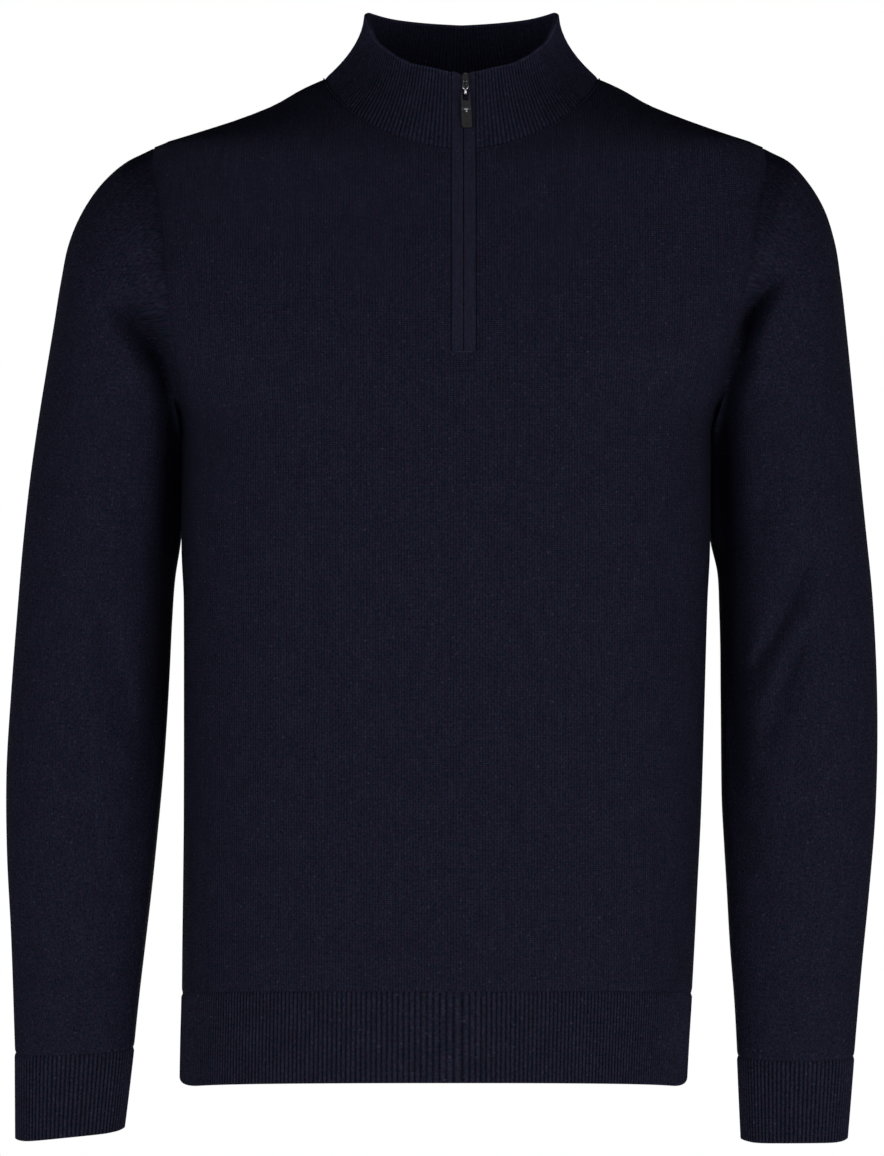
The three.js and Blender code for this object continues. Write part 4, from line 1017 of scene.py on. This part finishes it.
def metal_frame(lengths, path):
    """Frame of the metal parts at the collar's top edge: origin, across, down along the tape, and out."""
    spot, along, outward = path_frame(lengths, path, np.array([lengths[-1], lengths[-1] * 0.93]))
    way = spot[1] - spot[0]
    down = np.array([0, *(way / np.linalg.norm(way))])
    out = np.array([0, down[2], -down[1]])
    origin = np.array([ZIP_CENTRE, *spot[0]])
    return origin, np.array([1.0, 0, 0]), down, out


def placed(axes, across, along, lift):
    """Point at distances across, along and out from the frame of the metal parts."""
    origin, right, down, out = axes
    parts = [np.asarray(value)[..., None] for value in np.broadcast_arrays(across, along, lift)]
    return origin + (parts[0] + SLIDER_SHIFT) * right + parts[1] * down + parts[2] * out


def pad_shape(half_across, half_along, half_lift, power):
    """Flat pebble: each unit ball coordinate raised to a power below one, then stretched."""
    polar = np.linspace(0.02, np.pi - 0.02, 25)[:, None]
    turn = np.arange(40)[None] / 40 * 2 * np.pi
    flat = lambda value: np.sign(value) * np.abs(value) ** power
    across = half_across * flat(np.sin(polar)) * flat(np.cos(turn))
    lift = half_lift * flat(np.sin(polar)) * flat(np.sin(turn))
    along = half_along * flat(np.cos(polar)) * np.ones_like(turn)
    return across, along, lift


def tube_along(path, half_wide, half_thick, sides=12):
    """Oval section carried along a path in the along and lift plane; across is the wide way."""
    way = unit(np.gradient(path, axis=0))
    normal = np.stack((-way[:, 1], way[:, 0]), -1)
    turn = np.arange(sides) / sides * 2 * np.pi
    across = half_wide * np.cos(turn)[None] * np.ones((len(path), 1))
    spread = half_thick * np.sin(turn)[None, :, None]
    flat = path[:, None] + normal[:, None] * spread
    return across, flat[..., 0], flat[..., 1]


def build_slider(axes):
    """Slider body in front of and behind the tapes, with a groove down its face, a post and a bail."""
    middle = SLIDER_TOP + SLIDER_LENGTH / 2
    face = SLIDER_CLEAR + SLIDER_PLATE
    pieces = []
    across, along, lift = pad_shape(SLIDER_HALF, SLIDER_LENGTH / 2, SLIDER_PLATE / 2 + 0.15 * MM, 0.62)
    groove = 0.4 * MM * np.exp(-((across / (0.5 * MM)) ** 2)) * (np.abs(along) < SLIDER_LENGTH * 0.42)
    lift = np.where(lift > 0, lift - groove, lift) + face - SLIDER_PLATE / 2
    pieces.append(closed_tube("slider_front", placed(axes, across, along + middle, lift), flip=True))
    across, along, lift = pad_shape(2.6 * MM, SLIDER_LENGTH / 2 - 0.4 * MM, 0.7 * MM, 0.6)
    rear = -TAPE_WALL - SLIDER_CLEAR - SLIDER_PLATE / 2
    pieces.append(closed_tube("slider_rear", placed(axes, across, along + middle, lift + rear), flip=True))
    across, along, lift = pad_shape(1.0 * MM, 3.4 * MM, 1.5 * MM, 0.5)
    pieces.append(closed_tube("slider_post", placed(axes, across, along + SLIDER_TOP + 4.6 * MM, lift - 0.75 * MM),
                              flip=True))
    turn = np.linspace(np.pi, -0.12, 34)
    half = (BAIL_END - BAIL_START) / 2 - 0.45 * MM
    rise = BAIL_HEIGHT - 0.45 * MM
    bow = lambda value: np.sign(value) * np.abs(value) ** 0.72
    path = np.stack(((BAIL_START + BAIL_END) / 2 + half * bow(np.cos(turn)),
                     face - 0.3 * MM + (rise + 0.3 * MM) * bow(np.sin(turn))), -1)
    wide, along, lift = tube_along(path, 0.8 * MM, 0.45 * MM)
    pieces.append(closed_tube("slider_bail", placed(axes, wide, along, lift), flip=False))
    return join(pieces, "slider_metal")


def build_pull(axes):
    """Pull tab: a plate with a square eye and a shallow hollow, its section carried round between two outlines."""
    count = 96
    turn = np.arange(count) / count * 2 * np.pi
    low = PULL_HINGE - 0.5 * MM
    high = PULL_HINGE + PULL_LENGTH
    eye_low = PULL_HINGE + 0.5 * MM
    eye_high = PULL_HINGE + PULL_EYE_LENGTH
    squared = lambda value, power: np.sign(value) * np.abs(value) ** power
    outline = np.stack((PULL_HALF * squared(np.sin(turn), 0.42),
                        (low + high) / 2 - (high - low) / 2 * squared(np.cos(turn), 0.16)), -1)
    eye = np.stack((PULL_EYE_HALF * squared(np.sin(turn), 0.3),
                    (eye_low + eye_high) / 2 - (eye_high - eye_low) / 2 * squared(np.cos(turn), 0.3)), -1)
    neck = np.clip((outline[:, 1] - eye_high) / (3 * MM), 0, 1)
    outline[:, 0] *= 0.93 + 0.07 * neck * neck * (3 - 2 * neck)
    half = PULL_WALL / 2
    bevel = 0.4 * MM
    span = np.linalg.norm(outline - eye, axis=-1)
    inset = np.minimum(bevel / span, 0.3)
    top = [(inset + (1 - 2 * inset) * share, half) for share in np.linspace(0, 1, 25)]
    loops = [(0 * inset, half - bevel), *top, (1 + 0 * inset, half - bevel), (1 + 0 * inset, bevel - half)]
    loops += [(1 - inset, -half), (inset, -half), (0 * inset, bevel - half)]
    rings = []
    for share, lift in loops:
        flat = outline + (eye - outline) * np.broadcast_to(share, count)[:, None]
        rings.append(np.stack((flat[:, 0], flat[:, 1], np.full(count, lift)), -1))
    rings = np.stack(rings)
    from_start = np.clip((rings[..., 1] - PULL_SEGMENT - 1 * MM) / (0.5 * MM), 0, 1)
    to_end = np.clip((high - 2.5 * MM - rings[..., 1]) / (0.5 * MM), 0, 1)
    beside = np.clip((1.2 * MM - np.abs(rings[..., 0])) / (0.5 * MM), 0, 1)
    step = seam_dip(rings[..., 1] - PULL_SEGMENT, 0.25 * MM, 0.35 * MM)
    hollow = 0.4 * MM * from_start * to_end * beside + step
    crown = PULL_CROWN * (1 - (rings[..., 0] / PULL_HALF) ** 2)
    rings[..., 2] += np.where(rings[..., 2] > 0.9 * half, crown - hollow, 0)
    rings[..., 0] += (rings[..., 1] - PULL_HINGE) * PULL_LEAN
    base = SLIDER_CLEAR + SLIDER_PLATE + PULL_LIFT
    points = placed(axes, rings[..., 0], rings[..., 1], rings[..., 2] + base)
    cells, _ = cell_corners(len(loops), count, count, True)
    closing = np.stack((np.arange(count) + (len(loops) - 1) * count,
                        (np.arange(count) + 1) % count + (len(loops) - 1) * count,
                        (np.arange(count) + 1) % count, np.arange(count)), -1)
    faces = np.concatenate((cells.reshape(-1, 4), closing))
    return new_mesh("pull_tab", points.reshape(-1, 3), faces, sharp=0.5)


def join(pieces, name):
    """One object from several, its place in its mesh."""
    bpy.ops.object.select_all(action="DESELECT")
    for piece in pieces:
        piece.select_set(True)
    bpy.context.view_layer.objects.active = pieces[0]
    bpy.ops.object.join()
    pieces[0].name = name
    pieces[0].data.name = name
    return pieces[0]


def build_linking(neck, sizes):
    """Chain of linking stitches round the collar's base: a bead for each rib, laid along the seam."""
    points, faces = ellipsoid(5, 6)
    count = int(neck["length"] / (1.9 * MM))
    share = (np.arange(count) + 0.5) / count
    spot = resample(neck["share"], neck["points"], share)
    normal = unit(resample(neck["share"], neck["normals"], share))
    along = unit(resample(neck["share"], np.gradient(neck["points"], axis=0), share))
    off = unit(resample(neck["share"], neck["off"], share))
    centre = spot + normal * 0.12 * MM - off * 0.7 * MM
    axes = np.stack((along * 0.85 * MM, off * 0.6 * MM, normal * 0.5 * MM), 1)
    return scatter("linking_stitches", points, faces, centre, axes)


def knit_material(name, colour, wale, course, depth, fleck, groove=0.72, rim=None):
    """Knit finish, worked out from the cloth's own map.

    The height is a round ridge for each wale plus a wave that slants to both sides of it, so it reads as V stitches.
    The colour is the yarn's, times a heathered mix of fine noise drawn out along the wales, slow mottling and light
    flecks. Painted shade darkens the valleys between the wales to the share groove of the yarn's colour. When rim is
    given, a painted highlight lightens a band along the collar's folded top edge.
    """
    material = bpy.data.materials.new(name)
    material.use_nodes = True
    nodes, links = material.node_tree.nodes, material.node_tree.links
    shader = nodes["Principled BSDF"]
    shader.inputs["Roughness"].default_value = 0.9
    shader.inputs["Specular IOR Level"].default_value = 0.03
    shader.inputs["Metallic"].default_value = 0
    source = nodes.new("ShaderNodeUVMap")
    source.uv_map = "Cloth"
    split = nodes.new("ShaderNodeSeparateXYZ")
    links.new(source.outputs["UV"], split.inputs[0])

    def math_node(operation, *values):
        node = nodes.new("ShaderNodeMath")
        node.operation = operation
        for k, value in enumerate(values):
            if isinstance(value, (int, float)):
                node.inputs[k].default_value = value
            else:
                links.new(value, node.inputs[k])
        return node.outputs[0]

    def ranged(value, from_min, from_max, to_min, to_max):
        node = nodes.new("ShaderNodeMapRange")
        for key, number in (("From Min", from_min), ("From Max", from_max), ("To Min", to_min), ("To Max", to_max)):
            node.inputs[key].default_value = number
        links.new(value, node.inputs["Value"])
        return node.outputs["Result"]

    def noise_node(per_metre_across, per_metre_up, detail):
        scaled = nodes.new("ShaderNodeVectorMath")
        scaled.operation = "MULTIPLY"
        scaled.inputs[1].default_value = (per_metre_across, per_metre_up, 1)
        links.new(source.outputs["UV"], scaled.inputs[0])
        node = nodes.new("ShaderNodeTexNoise")
        node.inputs["Scale"].default_value = 1
        node.inputs["Detail"].default_value = detail
        links.new(scaled.outputs["Vector"], node.inputs["Vector"])
        return node.outputs[0]

    across = math_node("MULTIPLY", split.outputs["X"], 1 / wale)
    place = math_node("FRACT", across)
    from_middle = math_node("ABSOLUTE", math_node("SUBTRACT", place, 0.5))
    ridge = math_node("SUBTRACT", 1.0, math_node("MULTIPLY", math_node("POWER", from_middle, 2.0), 4.0))
    up = math_node("MULTIPLY", split.outputs["Y"], 1 / course)
    slanted = math_node("SUBTRACT", up, from_middle)
    wave = math_node("SINE", math_node("MULTIPLY", slanted, 2 * np.pi))
    height = math_node("ADD", ridge, math_node("MULTIPLY", wave, 0.3))
    bump = nodes.new("ShaderNodeBump")
    bump.inputs["Strength"].default_value = 1.0
    bump.inputs["Distance"].default_value = depth
    links.new(height, bump.inputs["Height"])
    links.new(bump.outputs["Normal"], shader.inputs["Normal"])

    fine = ranged(noise_node(760, 560, 2), 0.28, 0.72, 1 - fleck, 1 + fleck)
    streak = ranged(noise_node(330, 60, 1), 0.3, 0.7, 0.9, 1.1)
    mottle = ranged(noise_node(70, 55, 2), 0.3, 0.7, 0.92, 1.08)
    bright = ranged(noise_node(430, 470, 0), 0.7, 0.86, 0.0, 2.6 * fleck)
    # Painted shade: colour in the valleys between the wales is darkened to the share groove, standing in for the shade
    # in those grooves
    valley_shade = ranged(ridge, 0, 1, groove, 1.1)
    heather_and_painted_light = math_node("MULTIPLY", math_node("MULTIPLY", fine, streak), math_node("MULTIPLY", mottle, valley_shade))
    heather_and_painted_light = math_node("ADD", heather_and_painted_light, bright)
    # Painted highlight: a band from the height rim to 1 mm above it is lightened up to 1.9 times, standing in for
    # light caught by the collar's folded top edge
    if rim is not None:
        heather_and_painted_light = math_node("MULTIPLY", heather_and_painted_light, ranged(split.outputs["Y"], rim, rim + 1 * MM, 1.0, 1.9))
    yarn = nodes.new("ShaderNodeMix")
    yarn.data_type = "RGBA"
    red, green, blue = colour[:3]
    yarn.inputs["A"].default_value = (red * 0.84, green * 0.97, blue * 0.97, 1)
    yarn.inputs["B"].default_value = (red * 1.2, green * 1.0, blue * 1.03, 1)
    links.new(ranged(noise_node(240, 240, 1), 0.35, 0.65, 0.0, 1.0), yarn.inputs["Factor"])
    tint = nodes.new("ShaderNodeVectorMath")
    tint.operation = "SCALE"
    links.new(yarn.outputs["Result"], tint.inputs[0])
    links.new(heather_and_painted_light, tint.inputs["Scale"])
    links.new(tint.outputs["Vector"], shader.inputs["Base Color"])
    return material


def build_marks(walls):
    """Fashioning marks: a row of raised stitches inside each armhole, down the wales."""
    points, faces = ellipsoid(5, 6)
    panel = walls[-1]
    rows = np.flatnonzero((panel["row"] > MARK_ROWS[0]) & (panel["row"] < MARK_ROWS[1]))
    centres, axes = [], []
    for side in (-1, 1):
        length = panel["length"][rows]
        from_edge = length if side < 0 else length[:, -1:] - length
        column = np.argmin(np.abs(from_edge - MARK_INSET), axis=1)
        normal = panel["normals"][rows, column]
        spot = panel["points"][rows, column]
        down = unit(np.gradient(spot, axis=0))
        centres.append(spot + normal * 0.1 * MM)
        axes.append(np.stack((np.cross(normal, down) * 0.6 * MM, down * 1.1 * MM, normal * 0.45 * MM), 1))
    return scatter("fashioning_marks", points, faces, np.concatenate(centres), np.concatenate(axes))


def build_bar_tack(walls):
    """Bar tack: a row of small stitches straight across the bottom of the slit."""
    points, faces = ellipsoid(5, 6)
    panel = walls[-1]
    row = int(np.argmin(np.abs(panel["row"] - SLIT_ROW)))
    columns = slice(panel["left"], panel["right"] + 1)
    spots, normals = panel["points"][row, columns], panel["normals"][row, columns]
    x = ZIP_CENTRE + np.linspace(-TACK_HALF, TACK_HALF, TACK_STITCHES)
    spot = resample(spots[:, 0], spots, x)
    normal = unit(resample(spots[:, 0], normals, x))
    across = np.broadcast_to([1.0, 0, 0], normal.shape)
    up = unit(np.cross(across, normal))
    axes = np.stack((across * 0.8 * MM, up * 0.8 * MM, normal * 0.5 * MM), 1)
    return scatter("bar_tack", points, faces, spot + normal * 0.15 * MM, axes)


def plain_material(name, colour, roughness, metallic=0.0, specular=0.5):
    """One finish all over."""
    material = bpy.data.materials.new(name)
    material.use_nodes = True
    shader = material.node_tree.nodes["Principled BSDF"]
    shader.inputs["Base Color"].default_value = (*colour[:3], 1)
    shader.inputs["Roughness"].default_value = roughness
    shader.inputs["Metallic"].default_value = metallic
    shader.inputs["Specular IOR Level"].default_value = specular
    return material


def dress(piece, material, body, nodes):
    """Gives a piece its finish, its body and the nodes that it stands for."""
    piece.data.materials.clear()
    piece.data.materials.append(material)
    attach(piece, body)
    if nodes:
        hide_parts(*nodes)
    return piece


def flat_area(piece):
    """Area of one layer of a cloth wall."""
    count = len(piece.data.polygons)
    areas = np.empty(count)
    piece.data.polygons.foreach_get("area", areas)
    return float(areas.sum() / 2)


def soft_box(context, turn, power, stage):
    """Wide soft light a little below the camera's height, turned about the garment from its front."""
    data = bpy.data.lights.new("soft_box", "AREA")
    data.shape = "RECTANGLE"
    data.size = SOFT_BOX_WIDTH
    data.size_y = SOFT_BOX_HEIGHT
    data.energy = power
    lamp = bpy.data.objects.new("soft_box", data)
    lamp.location = (SOFT_BOX_REACH * np.sin(turn), -SOFT_BOX_REACH * np.cos(turn), stage.camera_z - SOFT_BOX_DROP)
    lamp.rotation_euler = (np.pi / 2 + np.arctan2(SOFT_BOX_DROP, SOFT_BOX_REACH), 0, turn)
    lamp.visible_camera = False
    context.scene.collection.objects.link(lamp)


class SweaterSizes(PropertyGroup):
    """Sizes of the cloth and its ribs."""

    panel_wall: FloatProperty(
        name="Panel thickness", description="Thickness of the plain knit", default=1.6 * MM, unit="LENGTH")
    rib_wall: FloatProperty(
        name="Rib thickness", description="Thickness of the hem and cuff ribs", default=2.4 * MM, unit="LENGTH")
    collar_wall: FloatProperty(
        name="Collar thickness", description="Thickness of the doubled collar", default=3.4 * MM, unit="LENGTH")
    rib_relief: FloatProperty(
        name="Rib depth", description="Depth of the valleys between ribs", default=1.0 * MM, unit="LENGTH")
    rib_proud: FloatProperty(
        name="Rib rise", description="How far ribs stand above the plain knit", default=0.3 * MM, unit="LENGTH")
    seam_groove: FloatProperty(
        name="Seam groove", description="Depth of the groove along each seam", default=0.7 * MM, unit="LENGTH")
    tape_crown: FloatProperty(
        name="Tape crown", description="How round the face of the zip tapes is", default=0.25 * MM, unit="LENGTH")
    hem_ribs: IntProperty(name="Hem ribs", description="Ribs round the whole hem", default=352, min=40)
    cuff_ribs: IntProperty(name="Cuff ribs", description="Ribs round each cuff", default=80, min=12)
    collar_ribs: IntProperty(name="Collar ribs", description="Ribs round the collar", default=184, min=24)


class SweaterColours(PropertyGroup):
    """Colours of the yarn, the tape and the metal."""

    body_knit: FloatVectorProperty(
        name="Body", description="Yarn of the front and back", default=(0.0125, 0.0131, 0.0262), subtype="COLOR")
    # Painted shade: the sleeves' yarn is the body's yarn darkened to 0.8, standing in for the shade that falls on the
    # sleeves
    sleeve_knit: FloatVectorProperty(
        name="Sleeves", description="Yarn of the sleeves", default=(0.01, 0.0105, 0.0212), subtype="COLOR")
    rib_knit: FloatVectorProperty(
        name="Ribs", description="Yarn of the hem and cuffs", default=(0.0141, 0.0149, 0.0284), subtype="COLOR")
    collar_rib: FloatVectorProperty(
        name="Collar", description="Yarn of the collar", default=(0.0152, 0.0161, 0.0318), subtype="COLOR")
    tape: FloatVectorProperty(
        name="Tape", description="Zip tape", default=(0.0143, 0.0147, 0.029), subtype="COLOR")
    metal: FloatVectorProperty(
        name="Metal", description="Slider and pull tab", default=(0.5, 0.5, 0.51), subtype="COLOR")


class SweaterStage(PropertyGroup):
    """Light, floor and camera."""

    lens: FloatProperty(
        name="Lens", description="Focal length of the camera", default=137.4, min=10, subtype="NONE")
    camera_distance: FloatProperty(
        name="Camera distance", description="From the camera to the garment's middle plane", default=3.0,
        unit="LENGTH")
    camera_x: FloatProperty(
        name="Camera X", description="How far right of the origin the camera is", default=-0.0133, unit="LENGTH")
    camera_z: FloatProperty(
        name="Camera Z", description="Height of the camera", default=-0.339, unit="LENGTH")
    floor_height: FloatProperty(
        name="Floor height", description="Height of the floor", default=-1.7, unit="LENGTH")
    backdrop: FloatProperty(
        name="Backdrop", description="Strength of the light from the horizon", default=1.0, min=0)
    soft_box_power: FloatProperty(
        name="Soft box power", description="Power of each of the two soft boxes", default=20.0, min=0, unit="POWER")
    soft_box_turn: FloatProperty(
        name="Soft box angle", description="How far to the side each soft box stands, in degrees", default=38.0)


WALLS = {}


def shared_walls(sizes):
    """Grids of both body panels and the neckline, worked out once."""
    if not WALLS:
        for face in (-1, 1):
            WALLS[face] = panel_walls(face, sizes)
        WALLS["neck"] = neckline(WALLS)
        WALLS["zip"] = zip_path(WALLS, WALLS["neck"])
    return WALLS


class SWEATER_OT_body(Operator):
    """Front and back panels of plain knit"""

    bl_idname = "sweater.body"
    bl_label = "Front and Back"

    def execute(self, context):
        sizes, colours = context.scene.sweater_sizes, context.scene.sweater_colours
        walls = shared_walls(sizes)
        knit = knit_material("body_knit", colours.body_knit, 1.9 * MM, 1.35 * MM, 0.4 * MM, 0.42)
        yarn = plain_material("sewing_yarn", [1.35 * value for value in colours.body_knit], 0.85, specular=0.15)
        sewn = {-1: [build_marks(walls), build_bar_tack(walls)], 1: []}
        for stitches in sewn[-1]:
            dress(stitches, yarn, "garment", [])
        for face, name, node in ((-1, "front_cloth", "front"), (1, "back_cloth", "back")):
            panel = walls[face]
            piece = shell(name, panel["outer"], panel["inner"], panel["uv"], keep=panel["keep"], flip=face > 0)
            dress(piece, knit, "garment", [node])
            area = min(0.33, flat_area(piece))
        return {"FINISHED"}


class SWEATER_OT_sleeves(Operator):
    """Both sleeves of plain knit"""

    bl_idname = "sweater.sleeves"
    bl_label = "Sleeves"

    def execute(self, context):
        sizes, colours = context.scene.sweater_sizes, context.scene.sweater_colours
        walls = shared_walls(sizes)
        # The sleeves take a darker copy of the body's yarn as painted shade
        knit = knit_material(
            "sleeve_knit", colours.sleeve_knit, 1.9 * MM, 1.35 * MM, 0.12 * MM, 0.5, groove=0.94)
        for side, node in ((-1, "sleeve_right"), (1, "sleeve_left")):
            piece = build_sleeve(side, walls, sizes)
            dress(piece, knit, "garment", [node])
            print(piece.name, "one layer", round(flat_area(piece), 4))
            flat_area(piece)
        return {"FINISHED"}


class SWEATER_OT_bands(Operator):
    """Ribbed hem bands and cuffs"""

    bl_idname = "sweater.bands"
    bl_label = "Hem and Cuffs"

    def execute(self, context):
        sizes, colours = context.scene.sweater_sizes, context.scene.sweater_colours
        knit = knit_material("rib_knit", colours.rib_knit, RIB_PITCH, 1.3 * MM, 0.12 * MM, 0.42, groove=0.3)
        made = [(build_hem(-1, sizes), "hem_rib_front", (0.5, 0.068)), (build_hem(1, sizes), "hem_rib_back", (0.5, 0.068)),
                (build_cuff(-1, sizes), "cuff_right", (0.19, 0.062)), (build_cuff(1, sizes), "cuff_left", (0.19, 0.062))]
        for piece, node, flat in made:
            dress(piece, knit, "garment", [node])
            print(piece.name, "one layer", round(flat_area(piece), 4))
        return {"FINISHED"}


class SWEATER_OT_collar(Operator):
    """Stand collar of doubled rib knit with its linking stitches"""

    bl_idname = "sweater.collar"
    bl_label = "Collar"

    def execute(self, context):
        sizes, colours = context.scene.sweater_sizes, context.scene.sweater_colours
        walls = shared_walls(sizes)
        # The collar's finish carries a painted highlight along its folded top edge, from 48 mm up
        knit = knit_material(
            "collar_rib", colours.collar_rib, RIB_PITCH, 1.3 * MM, 0.12 * MM, 0.42, groove=0.5, rim=48 * MM)
        piece = build_collar(walls["neck"], sizes)
        dress(piece, knit, "garment", ["collar"])
        yarn = plain_material("linking_yarn", [1.0 * value for value in colours.body_knit], 0.9, specular=0.05)
        stitches = build_linking(walls["neck"], sizes)
        dress(stitches, yarn, "garment", [])
        print(piece.name, "one layer", round(flat_area(piece), 4))
        return {"FINISHED"}


class SWEATER_OT_zip(Operator):
    """Zip tapes, coil, slider and pull tab"""

    bl_idname = "sweater.zip"
    bl_label = "Zip"

    def execute(self, context):
        sizes, colours = context.scene.sweater_sizes, context.scene.sweater_colours
        walls = shared_walls(sizes)
        lengths, path = walls["zip"]
        tape = knit_material("tape", colours.tape, 1 * MM, 1.1 * MM, 0.05 * MM, 0.25, groove=0.85)
        metal = plain_material("gunmetal", colours.metal, 0.2, metallic=1.0)
        for side, node in ((-1, "zip_tape_right"), (1, "zip_tape_left")):
            piece = build_tape(side, lengths, path, sizes)
            dress(piece, tape, "garment", [node])
            print(piece.name, "one layer", round(flat_area(piece), 5))
        coil = build_teeth(lengths, path)
        dress(coil, plain_material("coil", [0.004, 0.004, 0.006], 0.5), "garment", [])
        axes = metal_frame(lengths, path)
        dress(build_slider(axes), metal, "garment", ["zip_slider"])
        dress(build_pull(axes), metal, "pull", ["zip_pull"])
        return {"FINISHED"}


class SWEATER_OT_stage(Operator):
    """Pale floor, soft light and camera"""

    bl_idname = "sweater.stage"
    bl_label = "Stage"

    def execute(self, context):
        stage = context.scene.sweater_stage
        half = 2.5
        corners = np.array([(-half, -half, 0), (half, -half, 0), (half, half, 0), (-half, half, 0)], float)
        corners[:, 2] = stage.floor_height
        floor = new_mesh("floor", corners, np.array([[0, 1, 2, 3]]))
        floor.data.materials.append(plain_material("floor", (0.8, 0.8, 0.8), 0.9, specular=0.1))
        world = bpy.data.worlds.new("studio")
        context.scene.world = world
        world.use_nodes = True
        nodes, links = world.node_tree.nodes, world.node_tree.links
        background = nodes["Background"]
        coordinates = nodes.new("ShaderNodeTexCoord")
        split = nodes.new("ShaderNodeSeparateXYZ")
        links.new(coordinates.outputs["Generated"], split.inputs[0])
        up = nodes.new("ShaderNodeMapRange")
        up.interpolation_type = "SMOOTHSTEP"
        for key, value in (("From Min", 0.16), ("From Max", 0.26), ("To Min", 1.0), ("To Max", 0.03)):
            up.inputs[key].default_value = value
        links.new(split.outputs["Z"], up.inputs["Value"])
        low = nodes.new("ShaderNodeMapRange")
        low.interpolation_type = "SMOOTHSTEP"
        for key, value in (("From Min", -0.22), ("From Max", -0.145), ("To Min", 0.2), ("To Max", 1.0)):
            low.inputs[key].default_value = value
        links.new(split.outputs["Z"], low.inputs["Value"])
        both = nodes.new("ShaderNodeMath")
        both.operation = "MULTIPLY"
        links.new(up.outputs["Result"], both.inputs[0])
        links.new(low.outputs["Result"], both.inputs[1])
        sideways = nodes.new("ShaderNodeMath")
        sideways.operation = "ABSOLUTE"
        links.new(split.outputs["X"], sideways.inputs[0])
        sides = nodes.new("ShaderNodeMapRange")
        sides.interpolation_type = "SMOOTHSTEP"
        for key, value in (("From Min", 0.5), ("From Max", 0.85), ("To Min", 1.0), ("To Max", 0.4)):
            sides.inputs[key].default_value = value
        links.new(sideways.outputs[0], sides.inputs["Value"])
        whole = nodes.new("ShaderNodeMath")
        whole.operation = "MULTIPLY"
        links.new(both.outputs[0], whole.inputs[0])
        links.new(sides.outputs["Result"], whole.inputs[1])
        links.new(whole.outputs[0], background.inputs["Strength"])
        background.inputs["Color"].default_value = (stage.backdrop, stage.backdrop, stage.backdrop, 1)
        for turn, share in ((-stage.soft_box_turn, 0.95), (stage.soft_box_turn, 1.25), (180, 1.0), (-85, 0.2), (85, 0.2)):
            soft_box(context, np.radians(turn), stage.soft_box_power * share, stage)
        data = bpy.data.cameras.new("camera")
        data.lens = stage.lens
        data.sensor_width = 36
        data.clip_end = 100
        camera = bpy.data.objects.new("camera", data)
        camera.location = (stage.camera_x, -stage.camera_distance, stage.camera_z)
        camera.rotation_euler = (np.pi / 2, 0, 0)
        context.scene.collection.objects.link(camera)
        context.scene.camera = camera
        context.scene.view_settings.view_transform = "Standard"
        return {"FINISHED"}


class SWEATER_PT_panel(Panel):
    """Lists the steps of the sweater with its sizes and colours"""

    bl_label = "Quarter Zip Sweater"
    bl_idname = "SWEATER_PT_panel"
    bl_space_type = "VIEW_3D"
    bl_region_type = "UI"
    bl_category = "Sweater"

    def draw(self, context):
        layout = self.layout
        for group in (context.scene.sweater_sizes, context.scene.sweater_colours, context.scene.sweater_stage):
            box = layout.box()
            for key in group.__annotations__:
                box.prop(group, key)
        for operator in OPERATORS:
            layout.operator(operator.bl_idname)


OPERATORS = (SWEATER_OT_body, SWEATER_OT_sleeves, SWEATER_OT_bands, SWEATER_OT_collar, SWEATER_OT_zip,
             SWEATER_OT_stage)
GROUPS = {"sweater_sizes": SweaterSizes, "sweater_colours": SweaterColours, "sweater_stage": SweaterStage}


def register():
    """Registers the classes and puts the property groups on the scene."""
    for item in (*GROUPS.values(), *OPERATORS, SWEATER_PT_panel):
        bpy.utils.register_class(item)
    for name, group in GROUPS.items():
        setattr(bpy.types.Scene, name, PointerProperty(type=group))


def unregister():
    """Takes the property groups and classes away again."""
    for name in GROUPS:
        delattr(bpy.types.Scene, name)
    for item in reversed((*GROUPS.values(), *OPERATORS, SWEATER_PT_panel)):
        bpy.utils.unregister_class(item)


def main():
    """Builds the sweater and its stage."""
    register()
    bpy.ops.sweater.body()
    bpy.ops.sweater.sleeves()
    bpy.ops.sweater.bands()
    bpy.ops.sweater.collar()
    bpy.ops.sweater.zip()
    bpy.ops.sweater.stage()


if __name__ == "__main__":
    main()
